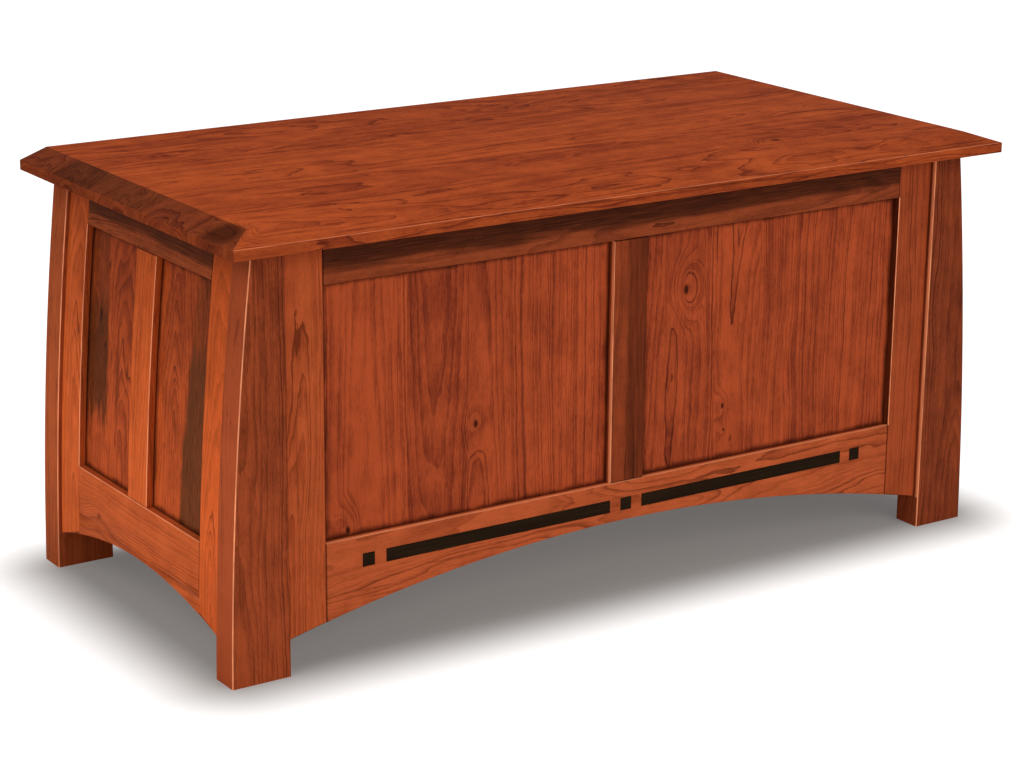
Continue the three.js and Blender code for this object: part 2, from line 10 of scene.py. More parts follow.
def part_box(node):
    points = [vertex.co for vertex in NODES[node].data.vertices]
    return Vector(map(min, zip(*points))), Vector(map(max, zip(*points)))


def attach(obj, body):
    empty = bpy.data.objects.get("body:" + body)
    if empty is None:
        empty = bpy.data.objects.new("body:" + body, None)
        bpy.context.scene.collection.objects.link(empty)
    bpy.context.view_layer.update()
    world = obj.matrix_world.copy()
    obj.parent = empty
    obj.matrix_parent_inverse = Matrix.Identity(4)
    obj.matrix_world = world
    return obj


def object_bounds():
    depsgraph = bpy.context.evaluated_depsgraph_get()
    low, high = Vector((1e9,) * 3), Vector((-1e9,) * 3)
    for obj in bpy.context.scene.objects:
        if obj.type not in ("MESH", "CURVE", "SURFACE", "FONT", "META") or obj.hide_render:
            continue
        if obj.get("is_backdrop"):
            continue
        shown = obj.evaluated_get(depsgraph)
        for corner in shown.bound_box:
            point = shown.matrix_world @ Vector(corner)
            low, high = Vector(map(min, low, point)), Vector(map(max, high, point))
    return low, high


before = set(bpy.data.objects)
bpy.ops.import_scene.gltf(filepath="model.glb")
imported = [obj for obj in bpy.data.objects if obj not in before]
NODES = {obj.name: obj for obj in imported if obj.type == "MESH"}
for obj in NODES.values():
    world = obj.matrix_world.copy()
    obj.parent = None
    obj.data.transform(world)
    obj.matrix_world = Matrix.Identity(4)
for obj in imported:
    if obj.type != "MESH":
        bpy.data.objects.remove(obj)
cad_low, cad_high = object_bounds()
MM = 0.001

# Camera: a long lens to the left of the front and a little above, fitted to the lid's corners,
# the feet and the panels in the photograph. The focal length is in pixels of a 1024-pixel frame.
CAMERA_PLACE_MM = (-1857.1, -2751.2, 1204.8)
CAMERA_HEADING, CAMERA_DIP, CAMERA_ROLL = (math.radians(turn) for turn in (33.845, 16.637, 0.522))
CAMERA_FOCUS_PIXELS, FRAME_PIXELS, SENSOR_MM = 2679.9, 1024, 36.0

camera = bpy.data.objects.new("camera", bpy.data.cameras.new("camera"))
camera.data.sensor_width = SENSOR_MM
camera.data.lens = CAMERA_FOCUS_PIXELS / FRAME_PIXELS * SENSOR_MM
camera.matrix_world = (
    Matrix.Translation([MM * place for place in CAMERA_PLACE_MM])
    @ Matrix.Rotation(-CAMERA_HEADING, 4, "Z")
    @ Matrix.Rotation(math.pi / 2 - CAMERA_DIP, 4, "X")
    @ Matrix.Rotation(CAMERA_ROLL, 4, "Z"))
bpy.context.scene.collection.objects.link(camera)
bpy.context.scene.camera = camera
bpy.context.scene.view_settings.view_transform = "Standard"


# Floor and light: a white sweep in a bright room. A large lamp above and behind throws the shadow
# forwards, two more light the front and the left end, and a low strip adds to the left end's lower
# part. Far off, the sweep glows white. Seen directly it is grey, and it glows less towards the
# chest, which paints a shadow round the chest on top of the lamps' own.
def colour(hex_code):
    """Linear RGBA of an sRGB hex colour: each channel is ((c + 0.055) / 1.055) ** 2.4 past 0.04."""
    shares = [int(hex_code[i:i + 2], 16) / 255 for i in (1, 3, 5)]
    return tuple(c / 12.92 if c <= 0.04045 else ((c + 0.055) / 1.055) ** 2.4 for c in shares) + (1.0,)


def add(tree, kind, inputs=(), out=0, **settings):
    """Adds a node with its settings, sets or links each input, and returns one output."""
    made = tree.nodes.new(kind)
    for name, value in settings.items():
        setattr(made, name, value)
    for socket, value in dict(inputs).items():
        if isinstance(value, bpy.types.NodeSocket):
            tree.links.new(value, made.inputs[socket])
        else:
            made.inputs[socket].default_value = value
    return made.outputs[out] if made.outputs else made


def material(name):
    """An empty node material, and its node tree."""
    made = bpy.data.materials.new(name)
    made.use_nodes = True
    made.node_tree.nodes.clear()
    return made, made.node_tree


def seen_directly(tree):
    """1 for camera, glossy and transmission rays, 0 for the rays that carry light about."""
    path = add(tree, "ShaderNodeLightPath").node
    either = add(tree, "ShaderNodeMath", {0: path.outputs["Is Camera Ray"], 1: path.outputs["Is Glossy Ray"]},
                 operation="MAXIMUM")
    return add(tree, "ShaderNodeMath", {0: either, 1: path.outputs["Is Transmission Ray"]},
               operation="MAXIMUM")


ROOM_LIGHT = 0.30
world = bpy.data.worlds.new("white_room")
world.use_nodes = True
world.node_tree.nodes.clear()
room = add(world.node_tree, "ShaderNodeMapRange", {0: seen_directly(world.node_tree), 3: ROOM_LIGHT, 4: 1.0})
sky = add(world.node_tree, "ShaderNodeBackground", {"Color": (1.0, 1.0, 1.0, 1.0), "Strength": room})
add(world.node_tree, "ShaderNodeOutputWorld", {"Surface": sky})
bpy.context.scene.world = world

# A map range with EASED leaves and reaches its ends gently, and never goes past them
EASED = {"interpolation_type": "SMOOTHSTEP"}
FLOOR_SIZE = 24.0
SHADOW_INSET = (0.03, 0.065)
SHADOW_GLOW, GLOW_FULL_AWAY = 0.12, 0.155
floor_mesh = bpy.data.meshes.new("floor")
corner = FLOOR_SIZE / 2
floor_mesh.from_pydata(
    [(-corner, -corner, 0), (corner, -corner, 0), (corner, corner, 0), (-corner, corner, 0)], [],
    [(0, 1, 2, 3)])
floor = bpy.data.objects.new("floor", floor_mesh)
bpy.context.scene.collection.objects.link(floor)
paper, tree = material("white_paper")
# Distance from the painted shadow's core: how far |place| passes half sizes just inside the chest's outline
half_sizes = (cad_high[0] - SHADOW_INSET[0], cad_high[1] - SHADOW_INSET[1], 1.0)
away = add(tree, "ShaderNodeVectorMath", {0: add(tree, "ShaderNodeTexCoord").node.outputs["Object"]},
           operation="ABSOLUTE")
away = add(tree, "ShaderNodeVectorMath", {0: away, 1: half_sizes}, operation="SUBTRACT")
away = add(tree, "ShaderNodeVectorMath", {0: away, 1: (0.0, 0.0, 0.0)}, operation="MAXIMUM")
away = add(tree, "ShaderNodeVectorMath", {0: away}, operation="LENGTH", out=1)
glow = add(tree, "ShaderNodeMapRange", {0: away, 2: GLOW_FULL_AWAY, 3: SHADOW_GLOW}, **EASED)
glow = add(tree, "ShaderNodeMath", {0: seen_directly(tree), 1: glow}, operation="MULTIPLY")
# Seen directly the floor is grey: painted shadow where it glows too little to turn white
lit = add(tree, "ShaderNodeMix", {0: seen_directly(tree), 6: colour("#e2e0dd"), 7: colour("#8d8680")}, out=2,
          data_type="RGBA")
lit = add(tree, "ShaderNodeBsdfDiffuse", {"Color": lit})
lift = add(tree, "ShaderNodeEmission", {"Color": colour("#ffffff"), "Strength": glow})
add(tree, "ShaderNodeOutputMaterial", {"Surface": add(tree, "ShaderNodeAddShader", {0: lit, 1: lift})})
floor_mesh.materials.append(paper)
floor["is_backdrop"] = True

# Each lamp: name, place, where it looks, width, height, power and how far its light fans out
LAMPS = (
    ("overhead_softbox", (0.2, 0.6, 4.3), (0.0, 0.0, 0.25), 2.4, 2.4, 61.0, 180),
    ("front_softbox", (0.9, -3.3, 1.7), (0.0, 0.0, 0.25), 1.8, 1.8, 53.0, 180),
    ("left_softbox", (-2.7, -0.6, 2.4), (0.0, 0.0, 0.25), 1.8, 1.8, 34.0, 180),
    ("left_strip", (-1.9, 0.0, 0.2), (-0.55, 0.0, 0.2), 1.4, 0.15, 0.43, 24),
)
for name, place, target, width, height, power, fan in LAMPS:
    lamp = bpy.data.objects.new(name, bpy.data.lights.new(name, "AREA"))
    lamp.data.shape = "RECTANGLE"
    lamp.data.size = width
    lamp.data.size_y = height
    lamp.data.energy = power
    lamp.data.spread = math.radians(fan)
    lamp.location = place
    lamp.rotation_euler = (Vector(target) - Vector(place)).to_track_quat("-Z", "Y").to_euler()
    bpy.context.scene.collection.objects.link(lamp)

# Legs: solid cherry, sawn to the bow, stained red-brown and sprayed with satin lacquer.
# Every board is a slice of its own log, so the same rings show as arches on the face,
# lines on a quartered edge and arcs on the end grain.

# The patterns' patches, in mm along the grain and across it. Real pores and fibres are finer than
# a pixel of the render, so they are drawn as coarse as it needs to show them.
SLOW_BEND_MM, QUICK_BEND_MM = (520, 110), (45, 12)
FIBRE_MM, PORE_MM, STREAK_MM = (45, 1.5), (8, 1.2), (230, 5.5)
BLOTCH_MM, CLOUD_MM, SHIMMER_MM = (210, 48), (38, 20), (26, 85)
SOAK_MM, RUB_MM = (30, 30), (50, 50)
NOISE_MIDDLE = (0.5, 0.5, 0.5)

# A ring stays pale up to the first share of its width and is darkest at the second. Past the first
# late share of its darkness it turns towards pitch. Growth changes over about 14 mm, which moves
# the rings by up to four pitches and leaves weak years paler.
RING_SHARES, LATE_SHARES = (0.35, 0.97), (0.72, 0.98)
QUICK_BEND_REACH_MM = 4.5
GROWTH_PER_METRE, GROWTH_DRIFT, WEAK_YEAR = 70.0, 4.0, 0.62

# What each pattern adds to the tone, which runs from pale at 0 to deep at 1
TONE_SHARES = {"ring": 0.55, "fibre": 0.26, "pores": 0.28, "blotch": 0.28, "cloud": 0.27}
TONE_OFFSET = 0.235
# Rings end towards pitch dark. Arrises and edge faces are painted towards the pale colour: paler sanded wood,
# painted highlight and painted light.
PITCH_DARK, WEAR_AND_HIGHLIGHT_PALE = "#2a0f08", "#fb9a68"
SOAKED_LEAST, SOAKED_MOST = (0.60, 0.64, 0.78, 1.0), (0.29, 0.37, 0.49, 1.0)
SQUARE_END_SOAK, SHIMMER = 0.45, (0.97, 1.03)
LACQUER_ROUGHNESS, ARRIS_GLOSS = (0.36, 0.48), 0.45


def patches(tree, grain, size_mm, detail=2.0, out=0):
    """Noise whose patches are about as long and as wide as size_mm, along and across the grain."""
    length, width = size_mm
    per_metre = (1 / (length * MM), 1 / (width * MM), 1 / (width * MM))
    place = add(tree, "ShaderNodeVectorMath", {0: grain, 1: per_metre}, operation="MULTIPLY")
    return add(tree, "ShaderNodeTexNoise", {"Vector": place, "Scale": 1.0, "Detail": detail}, out=out)


def cherry_group():
    """Colour, roughness, gloss and grain height of lacquered cherry at a place in the board.

    The distance from the pith, bent by slow and quick noise, is cut into rings a pitch wide.
    Each ring darkens slowly and ends sharply. Fibres, streaks and blotches are noise that is
    long along the grain.
    """
    tree = bpy.data.node_groups.new("lacquered_cherry", "ShaderNodeTree")
    sockets = {
        "INPUT": {"Vector": ("Grain", "Face"), "Color": ("Pale", "Deep", "Heart"),
                  "Float": ("Pitch", "Figure", "Ring shift", "Heartwood", "Streaks", "Dark", "Tone", "Worn and highlit",
                            "Edge", "Soak", "Gloss", "Late")},
        "OUTPUT": {"Color": ("Colour",), "Float": ("Roughness", "Gloss", "Height")},
    }
    for way, kinds in sockets.items():
        for kind, names in kinds.items():
            for name in names:
                tree.interface.new_socket(name=name, in_out=way, socket_type="NodeSocket" + kind)
    given = add(tree, "NodeGroupInput").node.outputs
    grain = given["Grain"]

    # Distance from the pith
    bent = grain
    for size_mm, reach in ((SLOW_BEND_MM, given["Figure"]), (QUICK_BEND_MM, QUICK_BEND_REACH_MM * MM)):
        bend = add(tree, "ShaderNodeVectorMath", {0: patches(tree, grain, size_mm, out=1), 1: NOISE_MIDDLE},
                   operation="SUBTRACT")
        bend = add(tree, "ShaderNodeVectorMath", {0: bend, "Scale": reach}, operation="SCALE")
        bent = add(tree, "ShaderNodeVectorMath", {0: bent, 1: bend}, operation="ADD")
    bent = add(tree, "ShaderNodeVectorMath", {0: bent, 1: (0.0, 1.0, 1.0)}, operation="MULTIPLY")
    radius = add(tree, "ShaderNodeVectorMath", {0: bent}, operation="LENGTH", out=1)
    radius = add(tree, "ShaderNodeMath", {0: radius, 1: given["Ring shift"]}, operation="ADD")

    # Rings: growth differs from year to year, so noise along the radius moves and weighs them
    years = add(tree, "ShaderNodeMath", {0: radius, 1: GROWTH_PER_METRE}, operation="MULTIPLY")
    growth = add(tree, "ShaderNodeTexNoise", {"W": years, "Scale": 1.0, "Detail": 2.0}, noise_dimensions="1D")
    rings = add(tree, "ShaderNodeMath", {0: radius, 1: given["Pitch"]}, operation="DIVIDE")
    rings = add(tree, "ShaderNodeMath", {0: growth, 1: GROWTH_DRIFT, 2: rings}, operation="MULTIPLY_ADD")
    ring = add(tree, "ShaderNodeMath", {0: rings}, operation="FRACT")
    ring = add(tree, "ShaderNodeMapRange", {0: ring, 1: RING_SHARES[0], 2: RING_SHARES[1]}, **EASED)
    weight = add(tree, "ShaderNodeMapRange", {0: growth, 1: 0.3, 2: 0.7, 3: WEAK_YEAR}, **EASED)
    ring = add(tree, "ShaderNodeMath", {0: ring, 1: weight}, operation="MULTIPLY")

    # Tone from pale to deep. Noise mostly lies between 0.3 and 0.7, so those ends are stretched.
    fibre = patches(tree, grain, FIBRE_MM, 3.0)
    blotch = patches(tree, grain, BLOTCH_MM, 3.0)
    cloud = patches(tree, grain, CLOUD_MM, 4.0)
    pores = patches(tree, grain, PORE_MM)
    parts = {
        "ring": ring,
        "fibre": add(tree, "ShaderNodeMapRange", {0: fibre, 1: 0.3, 2: 0.7}, **EASED),
        "pores": add(tree, "ShaderNodeMapRange", {0: pores, 1: 0.48, 2: 0.68}, **EASED),
        "blotch": add(tree, "ShaderNodeMapRange", {0: blotch, 1: 0.3, 2: 0.7}, **EASED),
        "cloud": add(tree, "ShaderNodeMapRange", {0: cloud, 1: 0.34, 2: 0.66}, **EASED),
    }
    tone = given["Tone"]
    for name, share in TONE_SHARES.items():
        tone = add(tree, "ShaderNodeMath", {0: parts[name], 1: share, 2: tone}, operation="MULTIPLY_ADD")
    tone = add(tree, "ShaderNodeMath", {0: tone, 1: TONE_OFFSET}, operation="SUBTRACT", use_clamp=True)
    shade = add(tree, "ShaderNodeMix", {0: tone, 6: given["Pale"], 7: given["Deep"]}, out=2, data_type="RGBA")

    # Heartwood, mineral streaks, ring ends, knots, glue lines, and painted shade along panel rims and on
    # shaded edge faces
    heart = add(tree, "ShaderNodeMapRange", {0: fibre, 1: 0.2, 2: 0.8, 3: 0.72}, **EASED)
    heart = add(tree, "ShaderNodeMath", {0: heart, 1: given["Heartwood"]}, operation="MULTIPLY",
                use_clamp=True)
    shade = add(tree, "ShaderNodeMix", {0: heart, 6: shade, 7: given["Heart"]}, out=2, data_type="RGBA")
    streak = add(tree, "ShaderNodeMapRange", {0: patches(tree, grain, STREAK_MM), 1: 0.60, 2: 0.76}, **EASED)
    streak = add(tree, "ShaderNodeMath", {0: streak, 1: given["Streaks"]}, operation="MULTIPLY")
    late = add(tree, "ShaderNodeMapRange",
               {0: ring, 1: LATE_SHARES[0], 2: LATE_SHARES[1], 4: given["Late"]}, **EASED)
    dark = add(tree, "ShaderNodeMath", {0: streak, 1: given["Dark"]}, operation="MAXIMUM")
    dark = add(tree, "ShaderNodeMath", {0: dark, 1: late}, operation="MAXIMUM", use_clamp=True)
    shade = add(tree, "ShaderNodeMix", {0: dark, 6: shade, 7: colour(PITCH_DARK)}, out=2, data_type="RGBA")
    # Shimmer across the grain is a painted sheen: bands up to 3% lighter or darker
    shimmer = patches(tree, grain, SHIMMER_MM, 1.0)
    shimmer = add(tree, "ShaderNodeMapRange", {0: shimmer, 1: 0.3, 2: 0.7, 3: SHIMMER[0], 4: SHIMMER[1]},
                  **EASED)
    shade = add(tree, "ShaderNodeVectorMath", {0: shade, "Scale": shimmer}, operation="SCALE")

    # End grain drank more stain, most of all where it was cut at a slant
    face = add(tree, "ShaderNodeVectorMath", {0: given["Face"]}, operation="ABSOLUTE")
    face = add(tree, "ShaderNodeSeparateXYZ", {0: face}).node.outputs
    soaked = add(tree, "ShaderNodeMapRange",
                 {0: patches(tree, grain, SOAK_MM, 3.0), 1: 0.3, 2: 0.7, 3: -0.15, 4: 0.15}, **EASED)
    soaked = add(tree, "ShaderNodeMath", {0: soaked, 1: given["Soak"]}, operation="ADD", use_clamp=True)
    soaked = add(tree, "ShaderNodeMix", {0: soaked, 6: SOAKED_LEAST, 7: SOAKED_MOST}, out=2, data_type="RGBA")
    soaked = add(tree, "ShaderNodeVectorMath", {0: shade, 1: soaked}, operation="MULTIPLY")
    slanted = add(tree, "ShaderNodeMapRange", {0: face[0], 1: 0.16, 2: 0.32}, **EASED)
    square = add(tree, "ShaderNodeMapRange", {0: face[0], 1: 0.6, 2: 0.9, 3: 1.0, 4: SQUARE_END_SOAK},
                 **EASED)
    slanted = add(tree, "ShaderNodeMath", {0: slanted, 1: square}, operation="MULTIPLY")
    shade = add(tree, "ShaderNodeMix", {0: slanted, 6: shade, 7: soaked}, out=2, data_type="RGBA")

    # Arrises, whose normals lean to no axis, are paler from sanding and painted paler as highlights,
    # and edge faces get painted light
    flat = add(tree, "ShaderNodeMath", {0: face[0], 1: face[1]}, operation="MAXIMUM")
    flat = add(tree, "ShaderNodeMath", {0: flat, 1: face[2]}, operation="MAXIMUM")
    arris = add(tree, "ShaderNodeMapRange", {0: flat, 1: 0.925, 2: 0.94, 3: 1.0, 4: 0.0}, **EASED)
    side_grain = add(tree, "ShaderNodeMapRange", {0: face[0], 1: 0.1, 2: 0.3, 3: 1.0, 4: 0.0}, **EASED)
    for share in (side_grain, given["Worn and highlit"]):
        arris = add(tree, "ShaderNodeMath", {0: arris, 1: share}, operation="MULTIPLY")
    worn_and_highlit = add(tree, "ShaderNodeMapRange",
                 {0: patches(tree, grain, RUB_MM), 1: 0.3, 2: 0.6, 3: 0.5, 4: 0.95}, **EASED)
    worn_and_highlit = add(tree, "ShaderNodeMath", {0: arris, 1: worn_and_highlit}, operation="MULTIPLY")
    worn_and_highlit = add(tree, "ShaderNodeMath", {0: given["Edge"], 1: worn_and_highlit}, operation="MAXIMUM")
    shade = add(tree, "ShaderNodeMix", {0: worn_and_highlit, 6: shade, 7: colour(WEAR_AND_HIGHLIGHT_PALE)}, out=2, data_type="RGBA")

    roughness = add(tree, "ShaderNodeMapRange",
                    {0: fibre, 1: 0.3, 2: 0.7, 3: LACQUER_ROUGHNESS[0], 4: LACQUER_ROUGHNESS[1]}, **EASED)
    gloss = add(tree, "ShaderNodeMapRange", {0: arris, 3: given["Gloss"], 4: ARRIS_GLOSS})
    height = add(tree, "ShaderNodeMath", {0: ring, 1: fibre}, operation="SUBTRACT")
    add(tree, "NodeGroupOutput", {"Colour": shade, "Roughness": roughness, "Gloss": gloss, "Height": height})
    return tree


def strip(side, depth, slope=0.02, tone=0.0):
    """One strip of a board, as cherry() takes it.

    side and depth are how far the log's middle lay across it and behind it, in mm, and slope is
    how it ran against the log. A strip with a higher tone is darker.
    """
    return tone, side, depth, slope


def knot(along, across, radius, squeeze=0.55, strength=0.92, push=6.0):
    """A knot's place and radius in mm, its width by its length, its darkness, and its push.

    The push is how far it moves the rings, by its radius.
    """
    return along, across, radius, squeeze, strength, push


KNOT_CORE, SWIRL_RADII, SWIRL_MM = 0.35, 7.0, 8


def knot_marks(tree, along, across, knots):
    """How far the knots push the rings outwards, and how dark the knots are.

    With d the distance from a knot's middle, scaled along the grain by its squeeze, the ring
    shift falls from push * radius at d = 0 to nothing at 7 radii, and the dark from the knot's
    strength at 0.35 radii to nothing at one. Past 8 mm of radius, the shift grows no more.
    """
    shift, dark = 0.0, 0.0
    for knot_along, knot_across, radius, squeeze, strength, push in knots:
        apart = add(tree, "ShaderNodeCombineXYZ", {0: along, 1: across})
        apart = add(tree, "ShaderNodeVectorMath", {0: apart, 1: (knot_along * MM, knot_across * MM, 0.0)},
                    operation="SUBTRACT")
        apart = add(tree, "ShaderNodeVectorMath", {0: apart, 1: (squeeze, 1.0, 1.0)}, operation="MULTIPLY")
        apart = add(tree, "ShaderNodeVectorMath", {0: apart}, operation="LENGTH", out=1)
        reach = min(radius, SWIRL_MM) * MM
        swirl = add(tree, "ShaderNodeMapRange", {0: apart, 2: SWIRL_RADII * reach, 3: push * reach, 4: 0.0},
                    **EASED)
        shift = add(tree, "ShaderNodeMath", {0: swirl, 1: shift}, operation="ADD")
        spot = add(tree, "ShaderNodeMapRange",
                   {0: apart, 1: KNOT_CORE * radius * MM, 2: radius * MM, 3: strength, 4: 0.0}, **EASED)
        dark = add(tree, "ShaderNodeMath", {0: spot, 1: dark}, operation="MAXIMUM")
    return shift, dark


RIM_PATCH_MM, RIM_WANDER_MM, RIM_FADE_MM, RIM_SHADE = (50, 25), 12, (-6, 2.5), 0.8


def rim_painted_shade(tree, place, along, across, recess):
    """Painted shade along the rim of a panel's window, in the frame's recess.

    The depth inside the rim is half the window's size less the distance from its middle, the
    least of both directions, less noise times 12 mm. The painted shade fades between -6 and 2.5 mm.
    """
    depths = []
    for source, (near, far) in zip((along, across), recess):
        off = add(tree, "ShaderNodeMath", {0: source, 1: (near + far) / 2 * MM}, operation="SUBTRACT")
        off = add(tree, "ShaderNodeMath", {0: off}, operation="ABSOLUTE")
        depths.append(add(tree, "ShaderNodeMath", {0: (far - near) / 2 * MM, 1: off}, operation="SUBTRACT"))
    depth = add(tree, "ShaderNodeMath", {0: depths[0], 1: depths[1]}, operation="MINIMUM")
    wander = patches(tree, place, RIM_PATCH_MM)
    depth = add(tree, "ShaderNodeMath", {0: wander, 1: -RIM_WANDER_MM * MM, 2: depth},
                operation="MULTIPLY_ADD")
    return add(tree, "ShaderNodeMapRange",
               {0: depth, 1: RIM_FADE_MM[0] * MM, 2: RIM_FADE_MM[1] * MM, 3: RIM_SHADE, 4: 0.0}, **EASED)


BORDER_PATCH_MM, BORDER_WANDER_MM, BORDER_FADE_MM = (150, 14), 22, (-4, 5)
FRINGE_PATCH_MM, FRINGE_MM, FOOT_FADE_MM, HEAD_FADE_MM = (90, 6), 60, (15, 45), (5, 55)


def heart_share(tree, place, along, across, start, side, dark, slope=0.0, foot=None, head=None, above=1.0):
    """How much of a place is heartwood, which lies on one side, 1 or -1, of a border across the board.

    The border is start mm across, plus the slope times the place along the grain, less 22 mm
    times the noise, which counts from its middle. With a foot and a head in mm, the heartwood runs
    out in streaks near the foot, and past the head only the share above is left.
    """
    border = add(tree, "ShaderNodeMath", {0: across, 1: start * MM}, operation="SUBTRACT")
    border = add(tree, "ShaderNodeMath", {0: along, 1: -slope, 2: border}, operation="MULTIPLY_ADD")
    border = add(tree, "ShaderNodeMath",
                 {0: patches(tree, place, BORDER_PATCH_MM), 1: BORDER_WANDER_MM * MM, 2: border},
                 operation="MULTIPLY_ADD")
    border = add(tree, "ShaderNodeMath", {0: border, 1: float(side)}, operation="MULTIPLY")
    plain, full = (BORDER_WANDER_MM / 2 * MM * side + fade * MM for fade in BORDER_FADE_MM)
    share = add(tree, "ShaderNodeMapRange", {0: border, 1: plain, 2: full, 4: dark}, **EASED)
    if foot is None:
        return share
    ends = patches(tree, place, FRINGE_PATCH_MM)
    ends = add(tree, "ShaderNodeMath", {0: ends, 1: FRINGE_MM * MM, 2: along}, operation="MULTIPLY_ADD")
    for end, fade_mm, before, after in ((foot, FOOT_FADE_MM, 0.0, 1.0), (head, HEAD_FADE_MM, 1.0, above)):
        left = add(tree, "ShaderNodeMapRange",
                   {0: ends, 1: (end + fade_mm[0]) * MM, 2: (end + fade_mm[1]) * MM, 3: before, 4: after},
                   **EASED)
        share = add(tree, "ShaderNodeMath", {0: share, 1: left}, operation="MULTIPLY")
    return share


def toward(tree, facet, way):
    """1 on faces that point a way, to about 14 degrees, and 0 past about 26 degrees."""
    cosine = add(tree, "ShaderNodeVectorMath", {0: facet, 1: way}, operation="DOT_PRODUCT", out=1)
    return add(tree, "ShaderNodeMapRange", {0: cosine, 1: 0.9, 2: 0.97}, **EASED)


def within(tree, value, along, across, ranges_mm):
    """The value inside a range along and a range across the board, and 0 past them."""
    for place, limits in zip((along, across), ranges_mm or ()):
        for limit, way in zip(limits, ("GREATER_THAN", "LESS_THAN")):
            if np.isfinite(limit):
                inside = add(tree, "ShaderNodeMath", {0: place, 1: limit * MM}, operation=way)
                value = add(tree, "ShaderNodeMath", {0: value, 1: inside}, operation="MULTIPLY")
    return value


CHERRY = cherry_group()
COAT_ROUGHNESS, COAT_IOR = 0.22, 1.5
GRAIN_BUMP, GRAIN_RELIEF_MM = 0.12, 0.3
# Arrises that face this way, towards the lamps, get a painted highlight
HIGHLIGHT_WAY = (-0.62, -0.62, 0.48)
# Painted light on an edge face is full within 2.5 mm of the open face and gone 6 mm in, in the shaded corner
EDGE_LIGHT_FADE_MM = (6, 2.5)
GLUE_LINE_MM, GLUE_LINE_DARK = 0.8, 0.3
NEXT_BOARD, NEXT_STRIP = 1.37, 2.9


